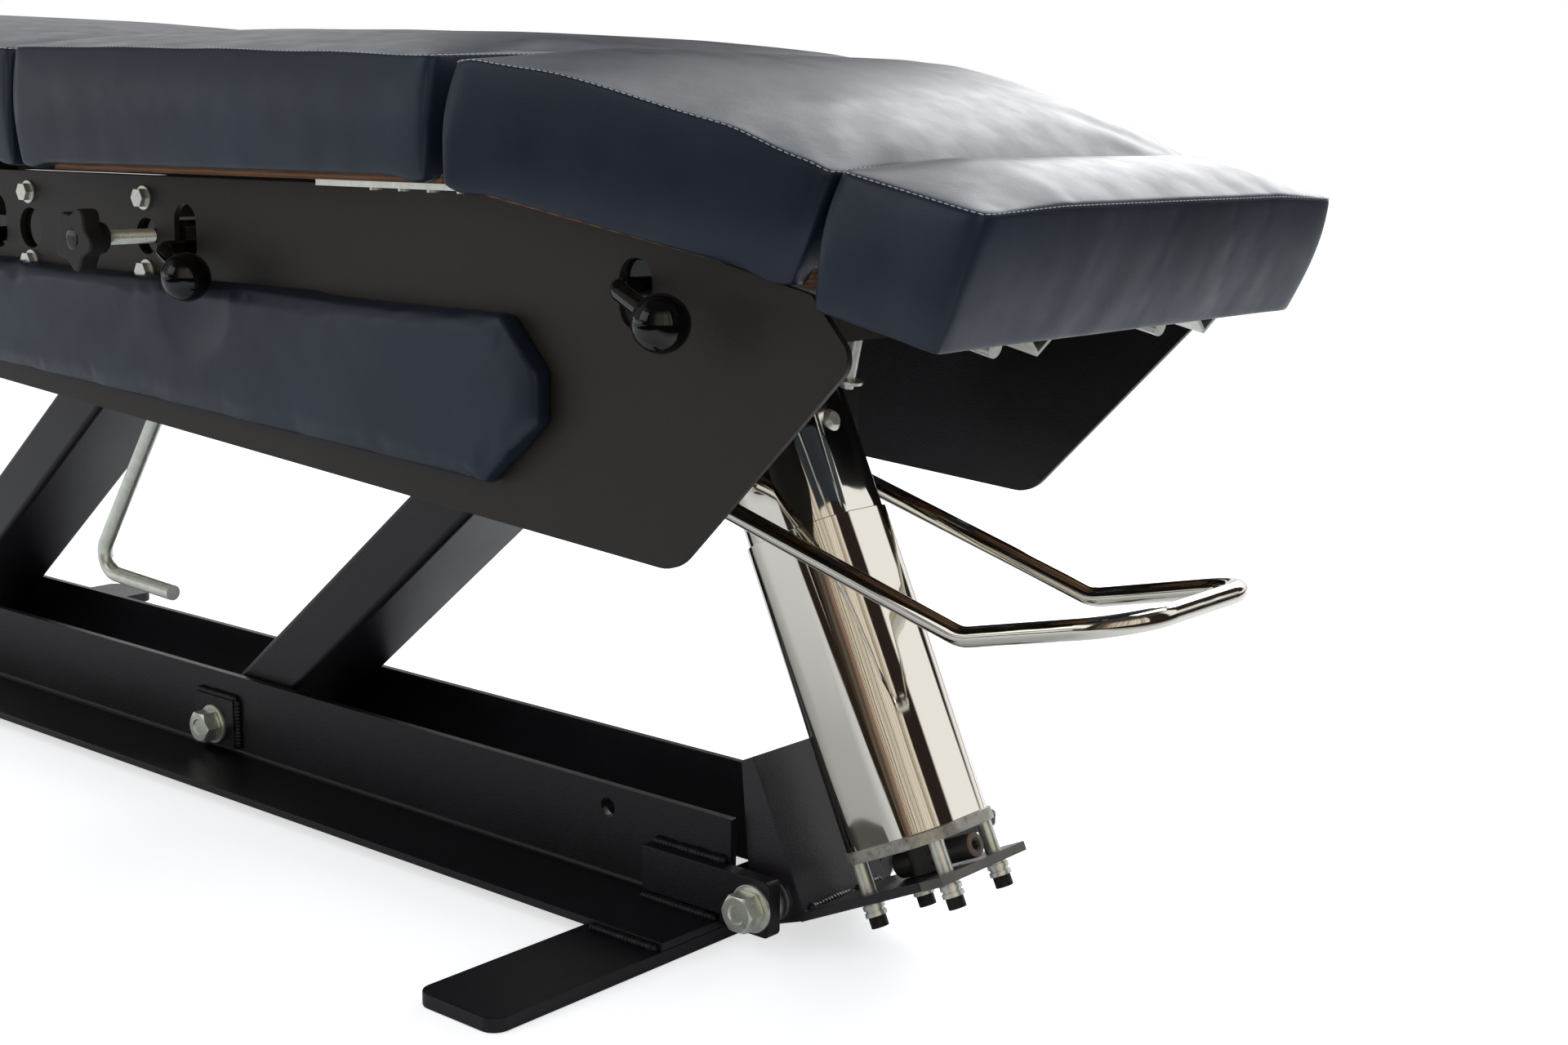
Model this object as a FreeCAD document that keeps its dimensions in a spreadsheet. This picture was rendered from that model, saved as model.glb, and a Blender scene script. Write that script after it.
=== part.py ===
import FreeCAD, Part
import math
import os
import Sketcher

Vector = FreeCAD.Vector
Rotation = FreeCAD.Rotation
Placement = FreeCAD.Placement

doc = FreeCAD.newDocument("ChiropracticTable")
sheet = doc.addObject("Spreadsheet::Sheet", "Sizes")

# Driving sizes in millimetres and degrees
# X runs towards the foot end, Y across the table, Z up from the floor.
# The origin is on the floor, midway along and across the whole table.
SIZES = [
    # General
    ("cut_overrun", 6.0),
    ("rest_gap", 0.4),
    ("run_clearance", 0.05),
    ("rail_end_x", 503.0),
    # Base: two steel angles on two flat bars
    ("rail_length", 1290.0),
    ("rail_leg", 76.2),
    ("rail_wall", 6.35),
    ("rail_root_radius", 4.0),
    ("rail_face_y", 56.0),
    ("rail_hole_radius", 6.75),
    ("rail_hole_setback", 121.0),
    ("rail_hole_height", 68.5),
    ("bar_thick", 10.0),
    ("bar_width", 76.2),
    ("bar_half_length", 277.0),
    ("bar_corner", 12.0),
    # Lugs on the foot end of the rails, which carry the lift column
    ("lug_thick", 12.7),
    ("lug_back", 74.0),
    ("lug_front", 46.0),
    ("lug_rise", 4.3),
    ("lug_top", 54.3),
    ("lug_low", 13.6),
    ("lug_corner", 4.5),
    ("column_pivot_out", 31.0),
    ("column_pivot_height", 33.0),
    # Pivot bolts, nuts and washers
    ("bolt_radius", 7.94),
    ("bolt_hole_clearance", 0.25),
    ("nut_circumradius", 14.4),
    ("nut_height", 14.5),
    ("bolt_head_height", 10.5),
    ("bolt_end_out", 3.0),
    ("washer_radius", 17.0),
    ("washer_thick", 2.5),
    ("spacer_washer_radius", 15.0),
    # Lift arms: two rectangular tubes that form a parallelogram
    ("arm_setback", 602.0),
    ("arm_spacing", 552.0),
    ("arm_pivot_height", 40.0),
    ("arm_length", 546.0),
    ("arm_angle", 38.5),
    ("arm_depth", 50.8),
    ("arm_half_width", 46.0),
    ("arm_wall", 4.0),
    ("arm_corner", 6.0),
    ("arm_end_over", 25.4),
    ("arm_boss_radius", 14.0),
    ("arm_pad_width", 56.0),
    ("arm_pad_low", 21.5),
    ("arm_pad_high", 65.0),
    ("arm_pad_thick", 6.0),
    # Upper frame: side plates
    ("plate_face_y", 193.4),
    ("plate_thick", 4.8),
    ("plate_top", 520.0),
    ("plate_foot_low_out", 76.5),
    ("plate_foot_low_height", 294.5),
    ("plate_foot_low_radius", 30.0),
    ("plate_foot_up_out", 212.8),
    ("plate_foot_up_height", 433.0),
    ("plate_foot_up_radius", 14.0),
    ("plate_head_low_back", 1000.0),
    ("plate_head_low_height", 369.5),
    ("plate_head_low_radius", 30.0),
    ("plate_head_back", 1082.0),
    ("plate_head_up_height", 440.0),
    ("plate_under_board_gap", 2.0),
    ("slot_width", 27.0),
    ("slot_height", 43.0),
    ("slot_corner", 13.2),
    ("leg_slot_out", 44.0),
    ("leg_slot_height", 461.0),
    ("pelvic_slot_back", 419.0),
    ("upper_slot_height", 478.5),
    ("thoracic_slot_back", 682.0),
    ("port_radius", 16.0),
    ("port_back", 632.0),
    ("stud_port_radius", 13.5),
    ("stud_back", 469.0),
    ("stud_height", 474.5),
    ("plate_bolt_back", 551.0),
    ("plate_bolt_height", 475.5),
    ("plate_bolt_pitch_x", 162.0),
    ("plate_bolt_pitch_z", 55.0),
    ("plate_bolt_radius", 3.95),
    ("plate_bolt_circumradius", 7.5),
    ("plate_bolt_head", 5.5),
    ("plate_washer_radius", 9.1),
    ("plate_washer_thick", 1.6),
    ("inner_plate_margin", 17.0),
    ("inner_plate_thick", 8.0),
    # Upper frame: cross beams and pivot plates
    ("beam_size", 40.0),
    ("beam_wall", 3.0),
    ("beam_drop", 5.0),
    ("eye_beam_drop", 22.0),
    ("end_beam_back", 1040.0),
    ("guide_beam_size", 22.0),
    ("guide_beam_depth", 62.0),
    ("pivot_plate_thick", 10.0),
    ("pivot_plate_half", 20.0),
    ("pivot_plate_gap", 1.0),
    ("pin_radius", 7.94),
    ("pin_end_out", 4.0),
    ("bumper_radius", 13.0),
    # Side pads
    ("pad_thick", 15.5),
    ("pad_edge_radius", 4.5),
    ("pad_tip_back", 28.5),
    ("pad_tip_high", 407.5),
    ("pad_tip_low", 375.5),
    ("pad_tip_radius", 5.0),
    ("pad_top_foot_back", 60.5),
    ("pad_top_foot_height", 443.0),
    ("pad_low_foot_back", 80.0),
    ("pad_low_foot_height", 331.5),
    ("pad_head_back", 1000.0),
    ("pad_head_high", 416.0),
    ("pad_head_low", 399.0),
    ("pad_top_head_back", 948.0),
    ("pad_top_head_height", 454.0),
    ("pad_low_head_back", 938.0),
    ("pad_low_head_height", 377.0),
    ("pad_relief_radius", 10.0),
    ("pad_relief_depth", 7.6),
    # Lift column, in its own axes from its foot pivot
    ("column_lean", 25.0),
    ("column_axis_out", 105.0),
    ("web_out", 24.0),
    ("web_low", 20.0),
    ("web_high", 98.0),
    ("bracket_half_width", 46.0),
    ("bracket_thick", 6.35),
    ("bracket_back", 16.0),
    ("bracket_shoulder", 20.0),
    ("bracket_top_depth", 12.0),
    ("bracket_round", 12.0),
    ("flange_out", 130.0),
    ("end_plate_low", 8.0),
    ("end_plate_thick", 8.3),
    ("end_plate_rim", 1.5),
    ("sleeve_half", 45.5),
    ("sleeve_corner", 34.0),
    ("sleeve_wall", 1.5),
    ("sleeve_length", 217.0),
    ("sleeve_gap", 0.5),
    ("inner_sleeve_low", 76.0),
    ("inner_sleeve_high", 328.0),
    ("sleeve_cap_thick", 4.0),
    ("screw_pitch_out", 70.0),
    ("screw_pitch_y", 54.0),
    ("screw_radius", 3.95),
    ("screw_head_radius", 6.2),
    ("screw_head_height", 8.0),
    ("screw_engage", 5.0),
    ("spacer_radius", 5.4),
    ("spring_washer_radius", 7.6),
    ("spring_washer_stack", 10.0),
    ("strap_width", 19.0),
    ("strap_half_length", 48.0),
    ("strap_gap", 2.5),
    ("pump_rear_radius", 10.0),
    ("pump_front_radius", 8.6),
    ("pump_rear_out", 82.0),
    ("pump_step_out", 104.0),
    ("pump_front_out", 149.0),
    ("pump_axis_low", 3.4),
    ("pump_boss_radius", 12.2),
    ("pump_boss_low", 13.2),
    ("plug_socket_radius", 3.6),
    ("plug_socket_depth", 4.0),
    ("barrel_radius", 30.0),
    ("barrel_length", 190.0),
    ("ram_radius", 15.9),
    ("ram_clearance", 0.1),
    ("ram_low", 82.0),
    ("eye_rise", 350.0),
    ("eye_radius", 17.0),
    ("eye_bore", 9.3),
    ("eye_half_width", 17.0),
    ("column_pin_radius", 6.35),
    ("cap_screw_rise", 297.0),
    ("cap_screw_radius", 8.0),
    ("cap_screw_height", 3.4),
    # Foot bar, a bent round bar that swings under the frame
    ("pedal_radius", 6.6),
    ("pedal_half_width", 75.0),
    ("pedal_pivot_back", 22.0),
    ("pedal_pivot_height", 320.0),
    ("pedal_bend_out", 205.0),
    ("pedal_bend_height", 254.0),
    ("pedal_end_out", 326.0),
    ("pedal_end_height", 281.0),
    ("pedal_bend_radius", 26.0),
    ("pedal_corner_radius", 38.0),
    ("pedal_boss_radius", 11.0),
    ("pedal_boss_half", 9.0),
    ("pedal_pin_radius", 6.0),
    ("hanger_thick", 6.0),
    ("hanger_half", 14.0),
    # Ball levers
    ("lever_radius", 6.0),
    ("lever_out", 21.6),
    ("lever_arm_out", 13.0),
    ("lever_arm_length", 50.0),
    ("lever_arm_drop", 17.0),
    ("lever_bend_radius", 11.0),
    ("lever_rise", 5.0),
    ("lever_shift", 4.0),
    ("lever_end_out", 5.0),
    ("ball_radius", 17.6),
    ("bearing_half", 15.0),
    ("bearing_thick", 14.0),
    # Star knob on its stud
    ("knob_out", 47.6),
    ("knob_thick", 15.0),
    ("knob_tip_radius", 29.0),
    ("knob_valley_radius", 17.5),
    ("knob_tip_round", 6.5),
    ("knob_valley_round", 7.0),
    ("knob_hub_radius", 11.5),
    ("knob_hub_height", 11.0),
    ("stud_radius", 5.6),
    ("stud_inside", 16.0),
    # Bent handle under the near side
    ("handle_radius", 6.35),
    ("handle_y", 140.0),
    ("handle_pivot_back", 495.6),
    ("handle_pivot_height", 398.6),
    ("handle_bend_back", 650.0),
    ("handle_bend_height", 185.0),
    ("handle_end_back", 537.0),
    ("handle_end_height", 180.0),
    ("handle_bend_radius", 17.0),
    ("handle_boss_radius", 13.0),
    ("handle_boss_half", 11.0),
    ("handle_pin_radius", 7.0),
    # Cushions and their boards
    ("board_thick", 12.0),
    ("board_sink", 6.0),
    ("board_inset", 16.0),
    ("cushion_half_width", 258.0),
    ("cushion_crown", 12.0),
    ("cushion_bulge", 3.0),
    ("cushion_tuck", 9.0),
    ("cushion_end_draw", 3.0),
    ("pelvic_foot_back", 58.0),
    ("pelvic_length", 468.0),
    ("pelvic_head_height", 83.5),
    ("pelvic_foot_height", 71.5),
    ("leg_head_back", 50.0),
    ("leg_length", 245.0),
    ("leg_head_rise", 521.5),
    ("leg_slope", 12.5),
    ("leg_height", 79.0),
    ("leg_foot_half_width", 201.0),
    ("ankle_gap", 8.0),
    ("ankle_length", 92.0),
    ("ankle_height", 66.0),
    ("ankle_foot_half_width", 198.0),
    ("thoracic_gap", 17.0),
    ("thoracic_length", 452.0),
    ("thoracic_slope", 5.5),
    ("thoracic_height", 82.0),
    ("head_gap", 14.0),
    ("head_length", 332.0),
    ("head_slope", 2.0),
    ("head_height", 66.0),
    ("head_half_width", 140.0),
    ("head_slit_half", 32.0),
    ("window_clearance", 1.5),
    ("cradle_boss_wall", 3.0),
    ("head_drop", 10.0),
    # Slides, guides and clips under the sections
    ("strip_length", 140.0),
    ("strip_width", 40.0),
    ("strip_thick", 4.0),
    ("strip_side_y", 200.0),
    ("strip_foot_back", 61.0),
    ("guide_rod_radius", 4.9),
    ("guide_rod_out", 79.0),
    ("guide_rod_low", 108.0),
    ("guide_clip_radius", 10.5),
    ("guide_clip_thick", 2.0),
    ("guide_clip_rise", 4.0),
    ("slide_rod_radius", 6.35),
    ("slide_rod_y", 93.0),
    ("slide_rod_drop", 22.0),
    ("slide_rod_end_in", 46.0),
    ("slide_rod_back", 186.0),
    ("slide_tube_wall", 2.0),
    ("slide_tube_length", 98.0),
    ("clip_width", 24.0),
    ("clip_thick", 2.0),
    ("clip_y", 95.0),
    ("clip_half_span", 20.0),
    # Head piece carrier
    ("head_rod_radius", 9.5),
    ("head_rod_y", 70.0),
    ("head_rod_height", 495.0),
    ("head_rod_length", 150.0),
    ("cradle_thick", 8.0),
    ("cradle_half_width", 84.0),
    ("cradle_length", 190.0),
    ("cradle_window", 150.0),
    ("cradle_boss_radius", 14.0),
    ("head_pivot_over", 26.0),
]

for row, (alias, value) in enumerate(SIZES, 1):
    sheet.set("A%d" % row, alias)
    sheet.set("B%d" % row, "%g" % value)
    sheet.setAlias("B%d" % row, alias)
doc.recompute()


class Size:
    """A length or angle that knows its formula in the sheet and its value."""

    def __init__(self, text, value):
        self.text = text
        self.value = value

    @staticmethod
    def of(other):
        return other if isinstance(other, Size) else Size("%r" % other, other)

    def join(self, sign, other, value):
        return Size("(%s %s %s)" % (self.text, sign, other.text), value)

    def __add__(self, other):
        other = Size.of(other)
        return self.join("+", other, self.value + other.value)

    def __sub__(self, other):
        other = Size.of(other)
        return self.join("-", other, self.value - other.value)

    def __mul__(self, other):
        other = Size.of(other)
        return self.join("*", other, self.value * other.value)

    def __truediv__(self, other):
        other = Size.of(other)
        return self.join("/", other, self.value / other.value)

    def __neg__(self):
        return Size("(0 - %s)" % self.text, -self.value)


class Sheet:
    """Gives each named size of the sheet as an attribute."""

    def __getattr__(self, alias):
        return Size("Sizes.%s" % alias, float(sheet.get(alias)))


S = Sheet()
ZERO = Size("0", 0.0)


def cosine(angle):
    return Size("cos(%s)" % angle.text, math.cos(math.radians(angle.value)))


def sine(angle):
    return Size("sin(%s)" % angle.text, math.sin(math.radians(angle.value)))


def tangent(angle):
    return Size("tan(%s)" % angle.text, math.tan(math.radians(angle.value)))


def bind(obj, prop, size):
    obj.setExpression(prop, size.text)


def vec(x, y, z):
    return Vector(x.value, y.value, z.value)


# Places that several pieces share
# Shares of a size that others take
hanger_corner_share = 0.95
eye_plate_share = 0.8
pin_head_share = 1.5
screw_top_share = 0.62
screw_socket_share = 0.3
ankle_end_share = 0.97
strip_first_share = 0.35
strip_step_share = 0.2
strip_head_share = 1.5
clip_foot_share = 0.6
clip_nose_share = 1.4

column_x = S.rail_end_x + S.column_pivot_out
column_z = S.column_pivot_height
rail_inner_y = S.rail_face_y - S.rail_wall
rail_top = S.bar_thick + S.rail_leg
flange_top = S.bar_thick + S.rail_wall
arm_x = S.rail_end_x - S.arm_setback
arm_z = S.arm_pivot_height
arm_head_x = arm_x - S.arm_spacing
arm_top_x = arm_x + S.arm_length * cosine(S.arm_angle)
arm_top_z = arm_z + S.arm_length * sine(S.arm_angle)
arm_top_head_x = arm_top_x - S.arm_spacing
plate_inner_y = S.plate_face_y - S.plate_thick
beam_low = S.plate_top - S.beam_drop - S.beam_size
eye_x = column_x + S.column_axis_out * cosine(S.column_lean) - S.eye_rise * sine(S.column_lean)
eye_z = column_z + S.column_axis_out * sine(S.column_lean) + S.eye_rise * cosine(S.column_lean)
board_low = S.plate_top + S.plate_under_board_gap + S.plate_under_board_gap
arm_xs = (arm_x, arm_head_x)
arm_top_xs = (arm_top_x, arm_top_head_x)


def place(obj, x=ZERO, y=ZERO, z=ZERO, axis=None, angle=ZERO):
    """Puts an object at a place and turn that follow the sheet."""
    if axis is not None:
        obj.Placement = Placement(Vector(), Rotation(Vector(*axis), angle.value))
        if angle.text != "0":
            bind(obj, "Placement.Rotation.Angle", angle)
    bind(obj, "Placement.Base.x", x)
    bind(obj, "Placement.Base.y", y)
    bind(obj, "Placement.Base.z", z)
    return obj


# Angles that turn a primitive's own Z onto another axis
QUARTER = Size("90", 90.0)
TO_MINUS_Y = ((1, 0, 0), QUARTER)
TO_PLUS_X = ((0, 1, 0), QUARTER)
TO_MINUS_X = ((0, -1, 0), QUARTER)


def box(name, x, y, z, length, width, height):
    part = doc.addObject("Part::Box", name)
    bind(part, "Length", length)
    bind(part, "Width", width)
    bind(part, "Height", height)
    return place(part, x, y, z)


def rod(name, radius, length, x, y, z, turn=None):
    """A cylinder that runs up Z, or the way that turn gives."""
    part = doc.addObject("Part::Cylinder", name)
    bind(part, "Radius", radius)
    bind(part, "Height", length)
    axis, angle = turn if turn else (None, ZERO)
    return place(part, x, y, z, axis, angle)


def hexagon(name, circumradius, height, x, y, z, turn=None):
    part = doc.addObject("Part::Prism", name)
    part.Polygon = 6
    bind(part, "Circumradius", circumradius)
    bind(part, "Height", height)
    axis, angle = turn if turn else (None, ZERO)
    return place(part, x, y, z, axis, angle)


def fuse(name, shapes):
    part = doc.addObject("Part::MultiFuse", name)
    part.Shapes = shapes
    return part


def cut(name, base, tool):
    part = doc.addObject("Part::Cut", name)
    part.Base = base
    part.Tool = tool
    return part


def group(name, links):
    part = doc.addObject("Part::Compound", name)
    part.Links = links
    return part


def plane_of(body, role):
    for feature in body.Origin.OriginFeatures:
        if feature.Role == role:
            return feature


def sketch_on(body, role, offset, name):
    sketch = body.newObject("Sketcher::SketchObject", name)
    sketch.AttachmentSupport = [(plane_of(body, role), "")]
    sketch.MapMode = "FlatFace"
    bind(sketch, "AttachmentOffset.Base.z", offset)
    return sketch


def fix_point(sketch, geo, pos, x, y):
    """Holds a point of the sketch at named distances from its origin."""
    for kind, size in (("DistanceX", x), ("DistanceY", y)):
        index = sketch.addConstraint(Sketcher.Constraint(kind, -1, 1, geo, pos, size.value))
        bind(sketch, "Constraints[%d]" % index, size)


def corner_points(before, corner, after):
    """Where a rounded corner starts and ends, its centre and its middle."""
    point = Vector(corner[0].value, corner[1].value, 0)
    back = Vector(before[0].value, before[1].value, 0) - point
    ahead = Vector(after[0].value, after[1].value, 0) - point
    back.normalize()
    ahead.normalize()
    radius = corner[2].value
    half = back.getAngle(ahead) / 2
    reach = radius / math.tan(half)
    start = point + back * reach
    end = point + ahead * reach
    middle = back + ahead
    middle.normalize()
    centre = point + middle * (radius / math.sin(half))
    return start, end, centre, centre - middle * radius


def draw_outline(sketch, corners):
    """Draws a closed outline. A corner is (x, y), or (x, y, radius) where it is rounded."""
    count = len(corners)
    ends = []
    for i, corner in enumerate(corners):
        if len(corner) == 3:
            start, end, _, middle = corner_points(corners[i - 1], corner, corners[(i + 1) % count])
            ends.append((start, end, middle))
        else:
            point = Vector(corner[0].value, corner[1].value, 0)
            ends.append((point, point, None))
    marks = []
    for corner in corners:
        mark = sketch.addGeometry(Part.Point(Vector(corner[0].value, corner[1].value, 0)), True)
        fix_point(sketch, mark, 1, corner[0], corner[1])
        marks.append(mark)
    sides = []
    for i in range(count):
        line = Part.LineSegment(ends[i][1], ends[(i + 1) % count][0])
        sides.append(sketch.addGeometry(line, False))
    for i, corner in enumerate(corners):
        before, after = sides[i - 1], sides[i]
        if len(corner) == 2:
            sketch.addConstraint(Sketcher.Constraint("Coincident", before, 2, marks[i], 1))
            sketch.addConstraint(Sketcher.Constraint("Coincident", after, 1, marks[i], 1))
            continue
        start, end, middle = ends[i]
        turn = (middle - start).cross(end - middle).z
        first = 1 if turn > 0 else 2
        curve = Part.Arc(start, middle, end) if turn > 0 else Part.Arc(end, middle, start)
        arc = sketch.addGeometry(curve, False)
        sketch.addConstraint(Sketcher.Constraint("Tangent", before, 2, arc, first))
        sketch.addConstraint(Sketcher.Constraint("Tangent", after, 1, arc, 3 - first))
        sketch.addConstraint(Sketcher.Constraint("PointOnObject", marks[i], 1, before))
        sketch.addConstraint(Sketcher.Constraint("PointOnObject", marks[i], 1, after))
        index = sketch.addConstraint(Sketcher.Constraint("Radius", arc, corner[2].value))
        bind(sketch, "Constraints[%d]" % index, corner[2])


def draw_circle(sketch, x, y, radius):
    centre = Vector(x.value, y.value, 0)
    circle = sketch.addGeometry(Part.Circle(centre, Vector(0, 0, 1), radius.value), False)
    fix_point(sketch, circle, 3, x, y)
    index = sketch.addConstraint(Sketcher.Constraint("Radius", circle, radius.value))
    bind(sketch, "Constraints[%d]" % index, radius)


def rectangle(x0, y0, x1, y1, radius=None):
    corners = [(x0, y0), (x1, y0), (x1, y1), (x0, y1)]
    return [c + (radius,) for c in corners] if radius else corners


def new_body(name):
    body = doc.addObject("PartDesign::Body", name)
    body.Label = name
    return body


def pad(body, role, offset, length, outlines, circles=()):
    """Adds a plate of the outlines, from offset and on along the plane's normal."""
    sketch = sketch_on(body, role, offset, body.Name + "_profile")
    for outline in outlines:
        draw_outline(sketch, outline)
    for circle in circles:
        draw_circle(sketch, *circle)
    feature = body.newObject("PartDesign::Pad", body.Name + "_pad")
    feature.Profile = sketch
    bind(feature, "Length", length)
    return feature


def pocket(body, role, offset, depth, outlines=(), circles=()):
    """Cuts from offset back against the plane's normal, and checks that it did cut."""
    doc.recompute()
    before = body.Shape.Volume
    sketch = sketch_on(body, role, offset, body.Name + "_cut_profile")
    for outline in outlines:
        draw_outline(sketch, outline)
    for circle in circles:
        draw_circle(sketch, *circle)
    feature = body.newObject("PartDesign::Pocket", body.Name + "_pocket")
    feature.Profile = sketch
    bind(feature, "Length", depth)
    doc.recompute()
    if body.Shape.Volume >= before:
        raise RuntimeError("%s: the pocket cut nothing" % body.Name)
    return feature


def round_edges(body, radius, wanted):
    """Rounds the edges that wanted picks out of the body's present shape."""
    doc.recompute()
    base = body.Tip
    names = ["Edge%d" % i for i, edge in enumerate(base.Shape.Edges, 1) if wanted(edge)]
    feature = body.newObject("PartDesign::Fillet", body.Name + "_fillet")
    feature.Base = (base, names)
    bind(feature, "Radius", radius)
    return feature


def bent_wire(points, radii):
    """A path of straight runs with an arc of its own radius at each inner point."""
    edges = []
    start = points[0]
    for i in range(1, len(points) - 1):
        back = points[i - 1] - points[i]
        ahead = points[i + 1] - points[i]
        back.normalize()
        ahead.normalize()
        half = back.getAngle(ahead) / 2
        reach = radii[i - 1] / math.tan(half)
        middle = back + ahead
        middle.normalize()
        centre = points[i] + middle * (radii[i - 1] / math.sin(half))
        first = points[i] + back * reach
        last = points[i] + ahead * reach
        edges.append(Part.LineSegment(start, first).toShape())
        edges.append(Part.Arc(first, centre - middle * radii[i - 1], last).toShape())
        start = last
    edges.append(Part.LineSegment(start, points[-1]).toShape())
    return Part.Wire(edges)


def bent_bar(name, radius, points, bend_radii):
    """A round bar swept along a bent path."""
    places = [vec(*point) for point in points]
    path = bent_wire(places, [bend.value for bend in bend_radii])
    direction = places[1] - places[0]
    circle = Part.Wire([Part.Circle(places[0], direction, radius.value).toShape()])
    bar = doc.addObject("Part::Feature", name)
    bar.Shape = path.makePipeShell([circle], True, False)
    return bar


def pivot_frame(obj):
    """Puts a piece drawn in the lift column's own axes onto its foot pivot."""
    return place(obj, column_x, ZERO, column_z, (0, -1, 0), S.column_lean)


# Base rails: each is an angle with its flange outwards
rail_start_x = S.rail_end_x - S.rail_length
rail_heel_y = rail_inner_y + S.rail_leg


def rail(name, side):
    def across(y):
        return y if side > 0 else -y
    body = new_body(name)
    outline = [
        (across(rail_inner_y), S.bar_thick),
        (across(rail_inner_y), rail_top),
        (across(S.rail_face_y), rail_top),
        (across(S.rail_face_y), flange_top, S.rail_root_radius),
        (across(rail_heel_y), flange_top),
        (across(rail_heel_y), S.bar_thick),
    ]
    pad(body, "YZ_Plane", rail_start_x, S.rail_length, [outline])
    near_edge = S.rail_face_y + S.cut_overrun if side < 0 else S.cut_overrun - rail_inner_y
    bolt_hole = S.bolt_radius + S.bolt_hole_clearance
    holes = [(x, arm_z, bolt_hole) for x in arm_xs]
    if side < 0:
        holes.append((S.rail_end_x - S.rail_hole_setback, S.rail_hole_height, S.rail_hole_radius))
    pocket(body, "XZ_Plane", near_edge, S.rail_wall + S.cut_overrun * 2, circles=holes)
    return body


rail("rail_near", -1)
rail("rail_far", 1)


def foot_bar(name, x):
    body = new_body(name)
    outline = rectangle(x, -S.bar_half_length, x + S.bar_width, S.bar_half_length, S.bar_corner)
    pad(body, "XY_Plane", ZERO, S.bar_thick, [outline])
    return body


group("foot_bars", [
    foot_bar("foot_bar_foot", S.rail_end_x - S.bar_width),
    foot_bar("foot_bar_head", rail_start_x),
])


def column_lug(name, side):
    body = new_body(name)
    outline = [
        (S.rail_end_x - S.lug_back, flange_top + S.lug_rise),
        (S.rail_end_x + S.rest_gap, flange_top + S.lug_rise),
        (S.rail_end_x + S.rest_gap, S.lug_low),
        (S.rail_end_x + S.lug_front, S.lug_low, S.lug_corner),
        (S.rail_end_x + S.lug_front, S.lug_top, S.lug_corner),
        (S.rail_end_x - S.lug_back, S.lug_top),
    ]
    start = S.rail_face_y if side < 0 else -S.rail_face_y - S.lug_thick
    pad(body, "XZ_Plane", start, S.lug_thick, [outline])
    hole = (column_x, column_z, S.bolt_radius + S.bolt_hole_clearance)
    end = start + S.lug_thick + S.cut_overrun
    pocket(body, "XZ_Plane", end, S.lug_thick + S.cut_overrun * 2, circles=[hole])
    return body


group("column_lugs", [column_lug("column_lug_near", -1), column_lug("column_lug_far", 1)])


def arm_pad(name, x, side):
    y = S.rail_face_y if side > 0 else -S.rail_face_y - S.arm_pad_thick
    plate = box(name + "_plate", x - S.arm_pad_width / 2, y, S.arm_pad_low,
                S.arm_pad_width, S.arm_pad_thick, S.arm_pad_high - S.arm_pad_low)
    hole_length = S.arm_pad_thick + S.cut_overrun * 2
    hole_end = y + S.arm_pad_thick + S.cut_overrun
    hole = rod(name + "_hole", S.bolt_radius + S.bolt_hole_clearance, hole_length, x, hole_end, arm_z, TO_MINUS_Y)
    return cut(name, plate, hole)


arm_pads = []
for place_name, x in (("foot", arm_x), ("head", arm_head_x)):
    for side_name, side in (("near", -1), ("far", 1)):
        arm_pads.append(arm_pad("arm_pad_%s_%s" % (place_name, side_name), x, side))
group("arm_pads", arm_pads)


# Pivot bolts of the base: the head is on the far side and the nut on the near side
def pivot_set(name, x, z, seat_y):
    """One bolt, its nut and the two washers under them."""
    grip = seat_y + S.washer_thick
    far_end = grip + S.bolt_head_height
    near_end = grip + S.nut_height + S.bolt_end_out
    shank = rod(name + "_shank", S.bolt_radius, grip + near_end, x, grip, z, TO_MINUS_Y)
    head = hexagon(name + "_head", S.nut_circumradius, S.bolt_head_height, x, far_end, z, TO_MINUS_Y)
    bolt = fuse(name + "_bolt", [shank, head])
    block = hexagon(name + "_block", S.nut_circumradius, S.nut_height, x, -grip, z, TO_MINUS_Y)
    bore_length = S.nut_height + S.cut_overrun * 2
    bore = rod(name + "_bore", S.bolt_radius, bore_length, x, S.cut_overrun - grip, z, TO_MINUS_Y)
    nut = cut(name + "_nut", block, bore)
    washers = [washer(name + "_washer_far", S.washer_radius, S.washer_thick, x, grip, z)]
    washers.append(washer(name + "_washer_near", S.washer_radius, S.washer_thick, x, -seat_y, z))
    return bolt, nut, washers


def washer(name, radius, thick, x, y, z):
    """A flat ring whose face at y is the one on the far side."""
    disc = rod(name + "_disc", radius, thick, x, y, z, TO_MINUS_Y)
    hole_radius = S.bolt_radius + S.bolt_hole_clearance
    hole = rod(name + "_hole", hole_radius, thick + S.cut_overrun * 2, x, y + S.cut_overrun, z, TO_MINUS_Y)
    return cut(name, disc, hole)


bolts, nuts, washers = [], [], []
pivot_places = (
    ("foot_arm", arm_x, arm_z, S.rail_face_y + S.arm_pad_thick),
    ("head_arm", arm_head_x, arm_z, S.rail_face_y + S.arm_pad_thick),
    ("column", column_x, column_z, S.rail_face_y + S.lug_thick),
)
for name, x, z, seat_y in pivot_places:
    bolt, nut, rings = pivot_set(name, x, z, seat_y)
    bolts.append(bolt)
    nuts.append(nut)
    washers.extend(rings)
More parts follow.
